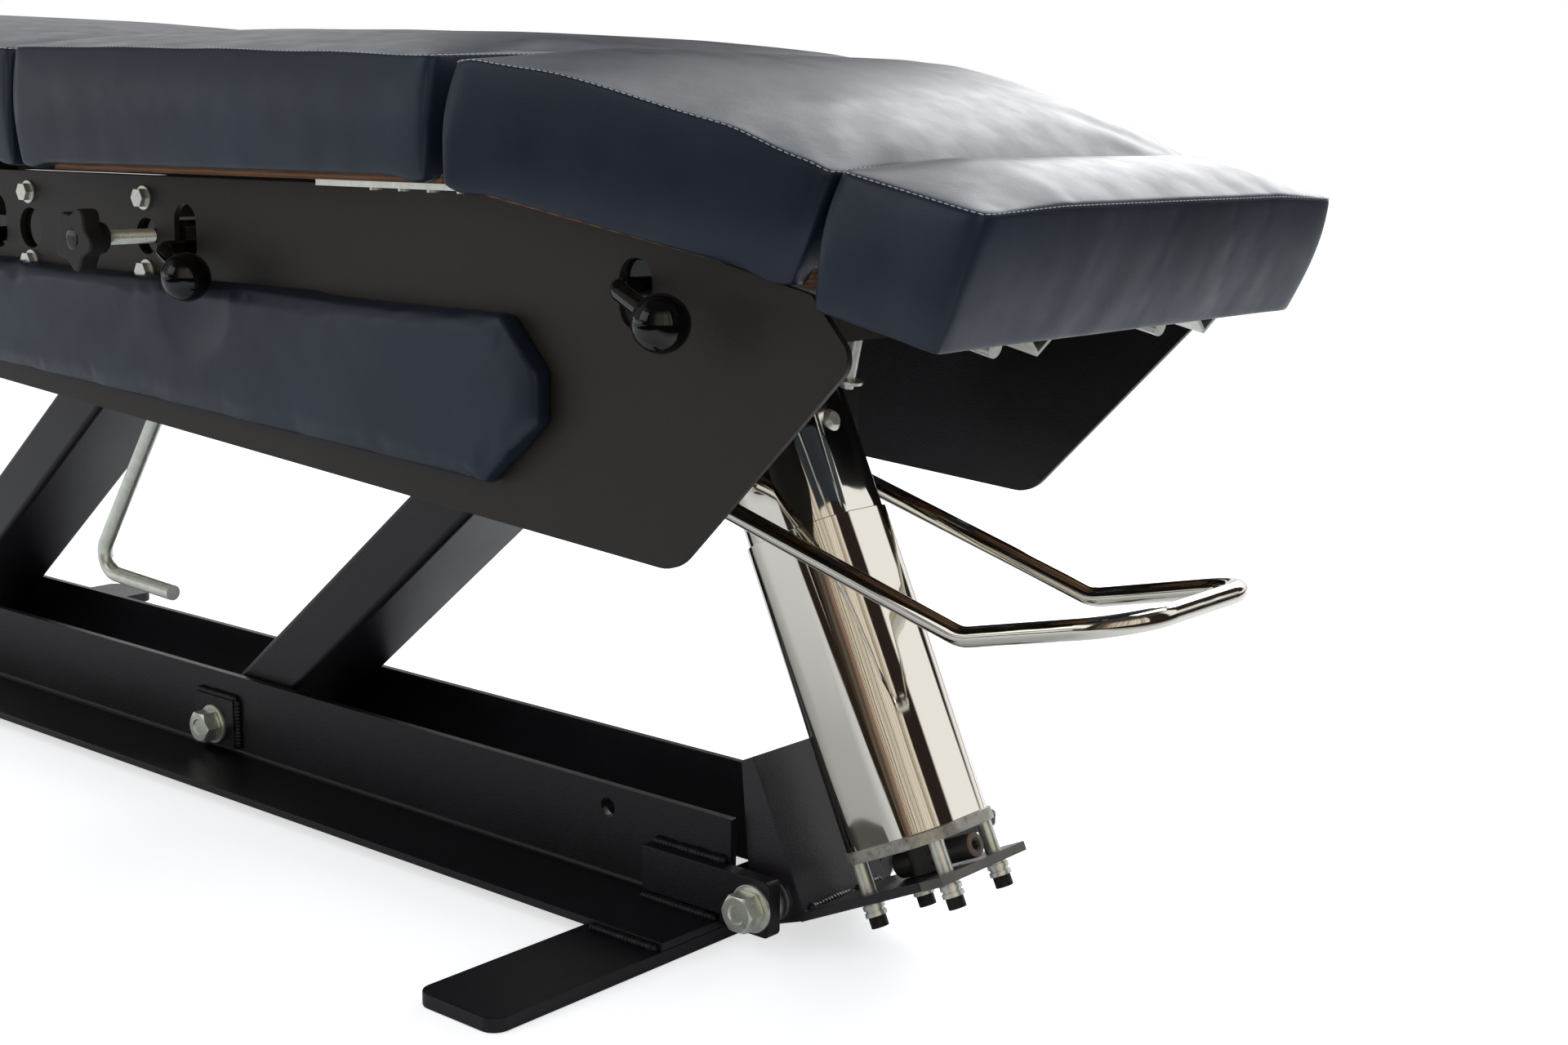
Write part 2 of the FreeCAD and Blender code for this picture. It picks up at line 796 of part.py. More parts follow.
# Loose rings fill the room between each lug and the column's bracket
ring_room = S.rail_face_y - S.bracket_half_width - S.rest_gap
ring_count = 2
for i in range(ring_count):
    thick = ring_room / ring_count
    for side_name, y in (("near", -S.rail_face_y + thick * (i + 1)), ("far", S.rail_face_y - thick * i)):
        ring_name = "spacer_ring_%s_%d" % (side_name, i)
        washers.append(washer(ring_name, S.spacer_washer_radius, thick, column_x, y, column_z))
group("pivot_bolts", bolts)
group("pivot_nuts", nuts)
group("pivot_washers", washers)


# Lift arms, drawn along X from their base pivot and then tilted
def lift_arm(name, x):
    body = new_body(name)
    half = S.arm_depth / 2
    outer = rectangle(-S.arm_half_width, -half, S.arm_half_width, half, S.arm_corner)
    inner_y = S.arm_half_width - S.arm_wall
    inner_z = half - S.arm_wall
    inner = rectangle(-inner_y, -inner_z, inner_y, inner_z)
    length = S.arm_length + S.arm_end_over * 2
    pad(body, "YZ_Plane", -S.arm_end_over, length, [outer, inner])
    ends = (ZERO, S.arm_length)
    bosses = [(end, ZERO, S.arm_boss_radius) for end in ends]
    pad(body, "XZ_Plane", -S.arm_half_width, S.arm_half_width * 2, [], bosses)
    bores = [(end, ZERO, S.bolt_radius + S.run_clearance) for end in ends]
    bore_start = S.arm_half_width + S.cut_overrun
    pocket(body, "XZ_Plane", bore_start, bore_start * 2, circles=bores)
    return place(body, x, ZERO, arm_z, (0, -1, 0), S.arm_angle)


lift_arm("lift_arm_foot", arm_x)
lift_arm("lift_arm_head", arm_head_x)


# Side plates of the upper frame
leg_head_x = S.rail_end_x - S.leg_head_back
leg_foot_x = leg_head_x + S.leg_length * cosine(S.leg_slope)


def under_leg(x):
    """Height of the leg board's underside at x."""
    return S.leg_head_rise - (x - leg_head_x) * tangent(S.leg_slope)


plate_foot_top_x = leg_foot_x - S.ankle_gap
plate_outline = [
    (S.rail_end_x + S.plate_foot_low_out, S.plate_foot_low_height, S.plate_foot_low_radius),
    (S.rail_end_x + S.plate_foot_up_out, S.plate_foot_up_height, S.plate_foot_up_radius),
    (plate_foot_top_x, under_leg(plate_foot_top_x) - S.plate_under_board_gap),
    (leg_head_x, under_leg(leg_head_x) - S.plate_under_board_gap),
    (S.rail_end_x - S.plate_head_back, S.plate_top, S.slot_corner),
    (S.rail_end_x - S.plate_head_back, S.plate_head_up_height, S.plate_foot_up_radius),
    (S.rail_end_x - S.plate_head_low_back, S.plate_head_low_height, S.plate_head_low_radius),
]


def slot_outline(x, z):
    half_width = S.slot_width / 2
    half_height = S.slot_height / 2
    return rectangle(x - half_width, z - half_height, x + half_width, z + half_height, S.slot_corner)


plate_slots = [
    slot_outline(S.rail_end_x + S.leg_slot_out, S.leg_slot_height),
    slot_outline(S.rail_end_x - S.pelvic_slot_back, S.upper_slot_height),
    slot_outline(S.rail_end_x - S.thoracic_slot_back, S.upper_slot_height),
]
plate_bolt_x = S.rail_end_x - S.plate_bolt_back
plate_bolt_places = []
for along in (-1, 1):
    for up in (-1, 1):
        x = plate_bolt_x + S.plate_bolt_pitch_x / 2 * along
        z = S.plate_bolt_height + S.plate_bolt_pitch_z / 2 * up
        plate_bolt_places.append((x, z))
plate_ports = [
    (S.rail_end_x - S.port_back, S.stud_height, S.port_radius),
    (S.rail_end_x - S.stud_back, S.stud_height, S.stud_port_radius),
]
plate_bolt_hole = S.plate_bolt_radius + S.bolt_hole_clearance


def side_plate(name, side):
    body = new_body(name)
    start = plate_inner_y if side < 0 else -S.plate_face_y
    pad(body, "XZ_Plane", start, S.plate_thick, [plate_outline])
    circles = plate_ports + [(x, z, plate_bolt_hole) for x, z in plate_bolt_places]
    end = start + S.plate_thick + S.cut_overrun
    pocket(body, "XZ_Plane", end, S.plate_thick + S.cut_overrun * 2, plate_slots, circles)
    return body


side_plate("side_plate_near", -1)
side_plate("side_plate_far", 1)


# Inner plates that the four bolts of each side hold against the side plate
def inner_plate(name, side):
    body = new_body(name)
    half_x = S.plate_bolt_pitch_x / 2 + S.inner_plate_margin
    half_z = S.plate_bolt_pitch_z / 2 + S.inner_plate_margin
    outline = rectangle(
        plate_bolt_x - half_x, S.plate_bolt_height - half_z,
        plate_bolt_x + half_x, S.plate_bolt_height + half_z, S.lug_corner)
    start = plate_inner_y - S.inner_plate_thick if side < 0 else -plate_inner_y
    pad(body, "XZ_Plane", start, S.inner_plate_thick, [outline])
    circles = [(x, z, plate_bolt_hole) for x, z in plate_bolt_places]
    circles.append((S.rail_end_x - S.stud_back, S.stud_height, S.stud_radius + S.run_clearance))
    end = start + S.inner_plate_thick + S.cut_overrun
    pocket(body, "XZ_Plane", end, S.inner_plate_thick + S.cut_overrun * 2, circles=circles)
    return body


inner_plates = [inner_plate("inner_plate_near", -1), inner_plate("inner_plate_far", 1)]


def plate_bolt(name, x, z, side):
    """A hexagon bolt with its washer, seated on the plate's outer face."""
    seat = S.plate_face_y
    grip = S.plate_thick + S.inner_plate_thick
    head_top = seat + S.plate_washer_thick + S.plate_bolt_head
    if side < 0:
        starts = (-(seat - grip), -seat, -(seat + S.plate_washer_thick))
    else:
        starts = (seat, seat + S.plate_washer_thick, head_top)
    shank = rod(name + "_shank", S.plate_bolt_radius, grip, x, starts[0], z, TO_MINUS_Y)
    ring = rod(name + "_ring", S.plate_washer_radius, S.plate_washer_thick, x, starts[1], z, TO_MINUS_Y)
    head = hexagon(name + "_head", S.plate_bolt_circumradius, S.plate_bolt_head, x, starts[2], z, TO_MINUS_Y)
    return fuse(name, [shank, ring, head])


plate_bolts = []
for i, (x, z) in enumerate(plate_bolt_places):
    plate_bolts.append(plate_bolt("plate_bolt_near_%d" % i, x, z, -1))
    plate_bolts.append(plate_bolt("plate_bolt_far_%d" % i, x, z, 1))
group("plate_bolts", plate_bolts)


# Cross beams: square tubes welded between the side plates
def beam(name, x, z, size):
    body = new_body(name)
    half = size / 2
    outer = rectangle(x - half, z, x + half, z + size)
    wall = S.beam_wall
    inner = rectangle(x - half + wall, z + wall, x + half - wall, z + size - wall)
    pad(body, "XZ_Plane", -plate_inner_y, plate_inner_y * 2, [outer, inner])
    return body


end_beam_x = S.rail_end_x - S.end_beam_back
eye_beam_low = S.plate_top - S.eye_beam_drop - S.beam_size
beam_places = (
    ("eye", eye_x, eye_beam_low), ("foot", arm_top_x, beam_low),
    ("head", arm_top_head_x, beam_low), ("end", end_beam_x, beam_low),
)
beams = [beam("beam_" + name, x, z, S.beam_size) for name, x, z in beam_places]

# Guide beam under the leg section, bored for the guide rod
def in_leg(x, z):
    """A place in the leg section's own axes, as x and z in the table's."""
    return (leg_head_x + x * cosine(S.leg_slope) + z * sine(S.leg_slope),
            S.leg_head_rise - x * sine(S.leg_slope) + z * cosine(S.leg_slope))


guide_local_x = S.rail_end_x + S.guide_rod_out - leg_head_x
guide_beam_x, guide_beam_mid = in_leg(guide_local_x, -S.guide_beam_depth)
guide_beam_z = guide_beam_mid - S.guide_beam_size / 2
guide_beam = beam("guide_beam_tube", guide_beam_x, guide_beam_z, S.guide_beam_size)
guide_bore_x, guide_bore_z = in_leg(guide_local_x, -S.guide_beam_depth - S.guide_beam_size)
guide_bore = rod("guide_beam_bore", S.guide_rod_radius + S.bolt_hole_clearance, S.guide_beam_size * 2,
                 guide_bore_x, ZERO, guide_bore_z, ((0, 1, 0), S.leg_slope))
beams.append(cut("guide_beam", guide_beam, guide_bore))
group("cross_beams", beams)


# Pivot plates that hang from the beams and hold the arms and the column's eye
def hanging_plate(name, x, z, y, thick, half, hole_radius, top):
    body = new_body(name)
    outline = [
        (x - half, top),
        (x - half, z - half, half * hanger_corner_share),
        (x + half, z - half, half * hanger_corner_share),
        (x + half, top),
    ]
    pad(body, "XZ_Plane", -y - thick, thick, [outline])
    end = S.cut_overrun - y
    pocket(body, "XZ_Plane", end, thick + S.cut_overrun * 2, circles=[(x, z, hole_radius)])
    return body


arm_plate_y = S.arm_half_width + S.pivot_plate_gap
pin_hole = S.pin_radius + S.bolt_hole_clearance
pivot_plates = []
for name, x in (("foot", arm_top_x), ("head", arm_top_head_x)):
    for side, y in (("near", -arm_plate_y - S.pivot_plate_thick), ("far", arm_plate_y)):
        pivot_plates.append(hanging_plate(
            "pivot_plate_%s_%s" % (name, side), x, arm_top_z, y,
            S.pivot_plate_thick, S.pivot_plate_half, pin_hole, beam_low))
eye_plate_y = S.eye_half_width + S.pivot_plate_gap
eye_hole = S.column_pin_radius + S.bolt_hole_clearance
for side, y in (("near", -eye_plate_y - S.pivot_plate_thick), ("far", eye_plate_y)):
    pivot_plates.append(hanging_plate(
        "pivot_plate_eye_%s" % side, eye_x, eye_z, y,
        S.pivot_plate_thick, S.pivot_plate_half * eye_plate_share, eye_hole, eye_beam_low))

def headed_pin(name, radius, x, z, half):
    """A pin across the table with a flat head at each end."""
    reach = half + S.pin_end_out
    shank = rod(name + "_shank", radius, reach * 2, x, reach, z, TO_MINUS_Y)
    far = rod(name + "_far", radius * pin_head_share, S.pin_end_out, x, reach, z, TO_MINUS_Y)
    near = rod(name + "_near", radius * pin_head_share, S.pin_end_out, x, -half, z, TO_MINUS_Y)
    return fuse(name, [shank, far, near])


pins = []
for name, x in (("foot", arm_top_x), ("head", arm_top_head_x)):
    pins.append(headed_pin("arm_pin_" + name, S.pin_radius, x, arm_top_z, arm_plate_y + S.pivot_plate_thick))
pins.append(headed_pin("eye_pin", S.column_pin_radius, eye_x, eye_z, eye_plate_y + S.pivot_plate_thick))

# Rubber bumpers on the beams, which the pelvic and thoracic boards drop on
bumpers = []
bumper_y = S.strip_side_y - S.strip_width
pelvic_head_x = S.rail_end_x - S.pelvic_foot_back - S.pelvic_length
thoracic_foot_x = pelvic_head_x - S.thoracic_gap
thoracic_run = thoracic_foot_x - arm_top_head_x - S.bumper_radius
bumper_tops = (
    ("foot", arm_top_x, board_low - S.rest_gap),
    ("head", arm_top_head_x, board_low + thoracic_run * tangent(S.thoracic_slope) - S.rest_gap),
)
for name, x, top in bumper_tops:
    for side_name, side in (("near", -1), ("far", 1)):
        low = beam_low + S.beam_size
        bumper = rod("bumper_%s_%s" % (name, side_name), S.bumper_radius, top - low, x, bumper_y * side, low)
        bumpers.append(bumper)
group("bumpers", bumpers)


# Side pads: padded boards on the outer faces of the side plates
def side_pad(name, side):
    body = new_body(name)
    foot = S.rail_end_x
    outline = [
        (foot - S.pad_tip_back, S.pad_tip_low, S.pad_tip_radius),
        (foot - S.pad_tip_back, S.pad_tip_high, S.pad_tip_radius),
        (foot - S.pad_top_foot_back, S.pad_top_foot_height, S.pad_tip_radius),
        (foot - S.pad_top_head_back, S.pad_top_head_height, S.pad_tip_radius),
        (foot - S.pad_head_back, S.pad_head_high, S.pad_tip_radius),
        (foot - S.pad_head_back, S.pad_head_low, S.pad_tip_radius),
        (foot - S.pad_low_head_back, S.pad_low_head_height, S.pad_tip_radius),
        (foot - S.pad_low_foot_back, S.pad_low_foot_height, S.pad_tip_radius),
    ]
    face = S.plate_face_y + S.pad_thick
    start = S.plate_face_y if side < 0 else -face
    pad(body, "XZ_Plane", start, S.pad_thick, [outline])
    # The back is relieved where the lower plate bolts stand behind the top edge
    reliefs = [(x, z, S.pad_relief_radius) for x, z in plate_bolt_places if z.value < S.plate_bolt_height.value]
    relief_start = S.plate_face_y + S.pad_relief_depth if side < 0 else S.cut_overrun - S.plate_face_y
    pocket(body, "XZ_Plane", relief_start, S.pad_relief_depth + S.cut_overrun, circles=reliefs)

    def on_outer_face(edge):
        return all(abs(v.Point.y - face.value * side) < S.rest_gap.value for v in edge.Vertexes)
    round_edges(body, S.pad_edge_radius, on_outer_face)
    return body


side_pad("side_pad_near", -1)
side_pad("side_pad_far", 1)

# Lift column, drawn in its own axes: X out from its pivot, Z along the column
web_in = S.web_out - S.bracket_thick


def column_bracket():
    body = new_body("column_bracket")
    cheek = [
        (S.web_out, -S.web_low),
        (S.web_out, S.web_high),
        (S.bracket_top_depth, S.web_high),
        (-S.bracket_back, S.bracket_shoulder, S.bracket_round),
        (-S.bracket_back, -S.bracket_back, S.bracket_round),
    ]
    pad(body, "XZ_Plane", -S.bracket_half_width, S.bracket_half_width * 2, [cheek])
    inner_y = S.bracket_half_width - S.bracket_thick
    room = rectangle(-S.bracket_back - S.cut_overrun, -S.web_low - S.cut_overrun, web_in, S.web_high + S.cut_overrun)
    pocket(body, "XZ_Plane", inner_y, inner_y * 2, [room])
    flange = rectangle(web_in, -S.bracket_half_width, S.flange_out, S.bracket_half_width, S.bar_corner / 4)
    pad(body, "XY_Plane", -S.web_low, S.bracket_thick, [flange])
    screw_hole = S.screw_radius + S.bolt_hole_clearance
    rear = S.column_axis_out - S.screw_pitch_out / 2
    holes = [(rear, S.screw_pitch_y / 2 * side, screw_hole) for side in (-1, 1)]
    pocket(body, "XY_Plane", S.bracket_thick + S.cut_overrun - S.web_low,
           S.bracket_thick + S.cut_overrun * 2, circles=holes)
    bore_start = S.bracket_half_width + S.cut_overrun
    pocket(body, "XZ_Plane", bore_start, bore_start * 2, circles=[(ZERO, ZERO, S.bolt_radius + S.run_clearance)])
    return pivot_frame(body)


column_bracket()

sleeve_low = S.end_plate_low + S.end_plate_thick
sleeve_high = sleeve_low + S.sleeve_length
screw_places = []
for along in (-1, 1):
    for side in (-1, 1):
        x = S.column_axis_out + S.screw_pitch_out / 2 * along
        screw_places.append((x, S.screw_pitch_y / 2 * side))


def squircle(half, radius):
    return rectangle(S.column_axis_out - half, -half, S.column_axis_out + half, half, radius)


def sleeve(name, half, radius, low, high):
    body = new_body(name)
    inner = squircle(half - S.sleeve_wall, radius - S.sleeve_wall)
    pad(body, "XY_Plane", low, high - low, [squircle(half, radius), inner])
    return pivot_frame(body)


def end_plate():
    body = new_body("end_plate")
    outline = squircle(S.sleeve_half + S.end_plate_rim, S.sleeve_corner)
    pad(body, "XY_Plane", S.end_plate_low, S.end_plate_thick, [outline])
    holes = [(x, y, S.screw_radius + S.bolt_hole_clearance) for x, y in screw_places]
    pocket(body, "XY_Plane", S.end_plate_low + S.screw_engage, S.screw_engage + S.cut_overrun, circles=holes)
    return pivot_frame(body)


end_plate()
sleeve("outer_sleeve", S.sleeve_half, S.sleeve_corner, sleeve_low, sleeve_high)
inner_half = S.sleeve_half - S.sleeve_wall - S.sleeve_gap
inner_corner = S.sleeve_corner - S.sleeve_wall - S.sleeve_gap
sleeve("inner_sleeve", inner_half, inner_corner, S.inner_sleeve_low, S.inner_sleeve_high)

flange_high = S.bracket_thick - S.web_low
stack_low = -S.web_low - S.spring_washer_stack
spacers, screws, stacks = [], [], []
rim_count = 2
rim_share = 0.6
waist_share = 0.86
for i, (x, y) in enumerate(screw_places):
    tube = rod("spacer_tube_%d" % i, S.spacer_radius, S.end_plate_low - flange_high, x, y, flange_high)
    bore_length = S.end_plate_low - flange_high + S.cut_overrun * 2
    bore = rod("spacer_bore_%d" % i, S.screw_radius + S.bolt_hole_clearance, bore_length,
               x, y, flange_high - S.cut_overrun)
    spacers.append(cut("spacer_%d" % i, tube, bore))
    shank = rod("screw_shank_%d" % i, S.screw_radius, S.end_plate_low + S.screw_engage - stack_low, x, y, stack_low)
    head_low = stack_low - S.screw_head_height
    head = rod("screw_head_%d" % i, S.screw_head_radius, S.screw_head_height, x, y, head_low)
    screws.append(fuse("column_screw_%d" % i, [shank, head]))
    # Dished washers, one on the other, with a narrow waist between two rims
    waist = S.spring_washer_radius * waist_share
    rings = [rod("stack_core_%d" % i, waist, S.spring_washer_stack, x, y, stack_low)]
    pitch = S.spring_washer_stack / rim_count
    for k in range(rim_count):
        rim_low = stack_low + pitch * k
        rings.append(rod("stack_rim_%d_%d" % (i, k), S.spring_washer_radius, pitch * rim_share, x, y, rim_low))
    solid = fuse("stack_solid_%d" % i, rings)
    bore = rod("stack_bore_%d" % i, S.screw_radius + S.bolt_hole_clearance,
               S.spring_washer_stack + S.cut_overrun * 2, x, y, stack_low - S.cut_overrun)
    stacks.append(cut("spring_stack_%d" % i, solid, bore))
pivot_frame(group("spacer_tubes", spacers))
pivot_frame(group("column_screws", screws))
pivot_frame(group("spring_washers", stacks))


def strap():
    body = new_body("strap")
    middle = S.column_axis_out + S.screw_pitch_out / 2
    start = S.flange_out + S.strap_gap
    outline = rectangle(start, -S.strap_half_length, start + S.strap_width, S.strap_half_length)
    pad(body, "XY_Plane", -S.web_low, S.bracket_thick, [outline])
    holes = [(middle, S.screw_pitch_y / 2 * side, S.screw_radius + S.bolt_hole_clearance) for side in (-1, 1)]
    pocket(body, "XY_Plane", S.bracket_thick + S.cut_overrun - S.web_low,
           S.bracket_thick + S.cut_overrun * 2, circles=holes)
    return pivot_frame(body)


strap()

# Valve block under the end plate, with a socket plug in its front end
pump_z = -S.pump_axis_low
rear = rod("pump_rear", S.pump_rear_radius, S.pump_step_out - S.pump_rear_out,
           S.pump_rear_out, ZERO, pump_z, TO_PLUS_X)
front = rod("pump_front", S.pump_front_radius, S.pump_front_out - S.pump_step_out,
            S.pump_step_out, ZERO, pump_z, TO_PLUS_X)
boss_z = -S.pump_boss_low
boss = rod("pump_boss", S.pump_boss_radius, S.end_plate_low - boss_z, S.column_axis_out, ZERO, boss_z)
block = fuse("pump_block_solid", [rear, front, boss])
socket = hexagon("pump_socket", S.plug_socket_radius, S.plug_socket_depth + S.cut_overrun,
                 S.pump_front_out - S.plug_socket_depth, ZERO, pump_z, TO_PLUS_X)
pivot_frame(cut("pump_block", block, socket))

# Hydraulic barrel and ram inside the sleeves
barrel_tube = rod("barrel_tube", S.barrel_radius, S.barrel_length, S.column_axis_out, ZERO, sleeve_low)
barrel_bore = rod("barrel_bore", S.ram_radius + S.ram_clearance, S.barrel_length + S.cut_overrun,
                  S.column_axis_out, ZERO, sleeve_low + S.end_plate_thick)
pivot_frame(cut("barrel", barrel_tube, barrel_bore))
ram_shaft = rod("ram_shaft", S.ram_radius, S.eye_rise - S.ram_low, S.column_axis_out, ZERO, S.ram_low)
ram_eye = rod("ram_eye", S.eye_radius, S.eye_half_width * 2, S.column_axis_out, S.eye_half_width, S.eye_rise, TO_MINUS_Y)
ram_solid = fuse("ram_solid", [ram_shaft, ram_eye])
eye_cut = rod("eye_cut", S.eye_bore, (S.eye_half_width + S.cut_overrun) * 2, S.column_axis_out,
              S.eye_half_width + S.cut_overrun, S.eye_rise, TO_MINUS_Y)
pivot_frame(cut("ram", ram_solid, eye_cut))


def sleeve_cap():
    body = new_body("sleeve_cap")
    pad(body, "XY_Plane", S.inner_sleeve_high, S.sleeve_cap_thick, [squircle(inner_half, inner_corner)])
    pocket(body, "XY_Plane", S.inner_sleeve_high + S.sleeve_cap_thick + S.cut_overrun,
           S.sleeve_cap_thick + S.cut_overrun * 2, circles=[(S.column_axis_out, ZERO, S.ram_radius)])
    return pivot_frame(body)


sleeve_cap()

# Round-headed screw on the foot face of the inner sleeve
screw_head = doc.addObject("Part::Cone", "cap_screw_head")
bind(screw_head, "Radius1", S.cap_screw_radius)
bind(screw_head, "Radius2", S.cap_screw_radius * screw_top_share)
bind(screw_head, "Height", S.cap_screw_height)
place(screw_head, S.column_axis_out + inner_half, ZERO, S.cap_screw_rise, (0, 1, 0), QUARTER)
screw_socket = hexagon("cap_screw_socket", S.cap_screw_radius * screw_socket_share, S.cap_screw_height + S.cut_overrun,
                       S.column_axis_out + inner_half + S.cap_screw_height / 2, ZERO, S.cap_screw_rise, TO_PLUS_X)
pivot_frame(cut("cap_screw", screw_head, screw_socket))

# Foot bar: one bent bar with a boss at each end, on pins that hang from the frame
pedal_x = S.rail_end_x - S.pedal_pivot_back
pedal_z = S.pedal_pivot_height
pedal_bend = (S.rail_end_x + S.pedal_bend_out, S.pedal_bend_height)
pedal_end = (S.rail_end_x + S.pedal_end_out, S.pedal_end_height)
pedal_points = [
    (pedal_x, -S.pedal_half_width, pedal_z),
    (pedal_bend[0], -S.pedal_half_width, pedal_bend[1]),
    (pedal_end[0], -S.pedal_half_width, pedal_end[1]),
    (pedal_end[0], S.pedal_half_width, pedal_end[1]),
    (pedal_bend[0], S.pedal_half_width, pedal_bend[1]),
    (pedal_x, S.pedal_half_width, pedal_z),
]
pedal_bends = [S.pedal_bend_radius, S.pedal_corner_radius, S.pedal_corner_radius, S.pedal_bend_radius]
pedal_shapes = [bent_bar("pedal_sweep", S.pedal_radius, pedal_points, pedal_bends)]
pedal_bores, hangers = [], []
hanger_y = S.pedal_half_width + S.pedal_boss_half + S.rest_gap
for side_name, side in (("near", -1), ("far", 1)):
    boss_end = S.pedal_half_width * side + S.pedal_boss_half
    pedal_shapes.append(rod("pedal_boss_" + side_name, S.pedal_boss_radius, S.pedal_boss_half * 2,
                            pedal_x, boss_end, pedal_z, TO_MINUS_Y))
    pedal_bores.append(rod("pedal_bore_" + side_name, S.pedal_pin_radius + S.run_clearance,
                           (S.pedal_boss_half + S.cut_overrun) * 2,
                           pedal_x, boss_end + S.cut_overrun, pedal_z, TO_MINUS_Y))
    plate_y = hanger_y if side > 0 else -hanger_y - S.hanger_thick
    plate = hanging_plate("pedal_plate_" + side_name, pedal_x, pedal_z, plate_y,
                          S.hanger_thick, S.hanger_half, S.pedal_pin_radius, eye_beam_low)
    inner = S.pedal_half_width - S.pedal_boss_half
    outer = hanger_y + S.hanger_thick
    pin_start = outer if side > 0 else -inner
    pin = rod("pedal_pin_" + side_name, S.pedal_pin_radius, outer - inner, pedal_x, pin_start, pedal_z, TO_MINUS_Y)
    hangers.append(fuse("pedal_hanger_" + side_name, [plate, pin]))
cut("pedal_bar", fuse("pedal_solid", pedal_shapes), fuse("pedal_bores", pedal_bores))
group("pivot_plates", pivot_plates + hangers)


# Ball levers: cross shafts through the plates' slots, each bent outside one plate
def ball_lever(name, x, z, side, reach):
    elbow_y = (S.plate_face_y + S.lever_out) * side
    ball = (x + S.lever_arm_length, elbow_y + S.lever_arm_out * side, z - S.lever_arm_drop)
    points = [(x, reach * -side, z), (x, elbow_y, z), ball]
    shaft = bent_bar(name + "_shaft", S.lever_radius, points, [S.lever_bend_radius])
    sphere = doc.addObject("Part::Sphere", name + "_sphere")
    bind(sphere, "Radius", S.ball_radius)
    place(sphere, *ball)
    return group(name + "_lever", [shaft, cut(name + "_ball", sphere, shaft)])


pelvic_lever_x = S.rail_end_x - S.pelvic_slot_back
pelvic_lever_z = S.upper_slot_height - S.lever_out / 2
leg_lever_x = S.rail_end_x + S.leg_slot_out + S.lever_shift
leg_lever_z = S.leg_slot_height + S.lever_rise
thoracic_lever_x = S.rail_end_x - S.thoracic_slot_back
lever_reach = plate_inner_y - S.rest_gap
ball_lever("pelvic", pelvic_lever_x, pelvic_lever_z, -1, lever_reach)
ball_lever("leg", leg_lever_x, leg_lever_z, -1, lever_reach)
ball_lever("thoracic", thoracic_lever_x, pelvic_lever_z, 1, S.plate_face_y + S.lever_end_out)

bearings = []
lever_places = (
    ("pelvic", pelvic_lever_x, pelvic_lever_z),
    ("leg", leg_lever_x, leg_lever_z),
    ("thoracic", thoracic_lever_x, pelvic_lever_z),
)
for name, x, z in lever_places:
    for side_name, side in (("near", -1), ("far", 1)):
        y = plate_inner_y - S.bearing_thick if side > 0 else -plate_inner_y
        label = "bearing_%s_%s" % (name, side_name)
        block = box(label + "_block", x - S.bearing_half, y, z - S.bearing_half,
                    S.bearing_half * 2, S.bearing_thick, S.bearing_half * 2)
        bore = rod(label + "_bore", S.lever_radius + S.run_clearance, S.bearing_thick + S.cut_overrun * 2,
                   x, y + S.bearing_thick + S.cut_overrun, z, TO_MINUS_Y)
        bearings.append(cut(label, block, bore))
group("inner_plates", inner_plates + bearings)

# Star knob and its stud
stud_x = S.rail_end_x - S.stud_back


first_lobe_angle = 62.0


def star_knob():
    body = new_body("star_knob")
    outline = []
    lobes = 5
    for i in range(lobes):
        turn = first_lobe_angle + 360.0 / lobes * i
        tip = Size("%r" % turn, turn)
        valley = tip + 180.0 / lobes
        outline.append((S.knob_tip_radius * cosine(tip), S.knob_tip_radius * sine(tip)))
        outline.append((S.knob_valley_radius * cosine(valley), S.knob_valley_radius * sine(valley)))
    start = S.plate_face_y + S.knob_out
    pad(body, "XZ_Plane", start, S.knob_thick, [outline])

    def upright(edge, low, high):
        reach = [math.hypot(v.Point.x, v.Point.z) for v in edge.Vertexes]
        along = abs(edge.Vertexes[0].Point.y - edge.Vertexes[-1].Point.y) > S.knob_thick.value / 2
        return along and all(low <= r <= high for r in reach)
    between = (S.knob_tip_radius.value + S.knob_valley_radius.value) / 2
    round_edges(body, S.knob_tip_round, lambda edge: upright(edge, between, between * 2))
    round_edges(body, S.knob_valley_round, lambda edge: upright(edge, 0, S.knob_valley_radius.value + S.rest_gap.value))
    pad(body, "XZ_Plane", start - S.knob_hub_height, S.knob_hub_height, [],
        [(ZERO, ZERO, S.knob_hub_radius)])
    pocket(body, "XZ_Plane", start + S.knob_thick / 2, S.knob_thick / 2 + S.knob_hub_height + S.cut_overrun,
           circles=[(ZERO, ZERO, S.stud_radius)])
    return place(body, stud_x, ZERO, S.stud_height)


star_knob()
stud_start = plate_inner_y - S.inner_plate_thick - S.stud_inside
stud_end = S.plate_face_y + S.knob_out + S.knob_thick / 2
rod("knob_stud", S.stud_radius, stud_end - stud_start, stud_x, -stud_start, S.stud_height, TO_MINUS_Y)

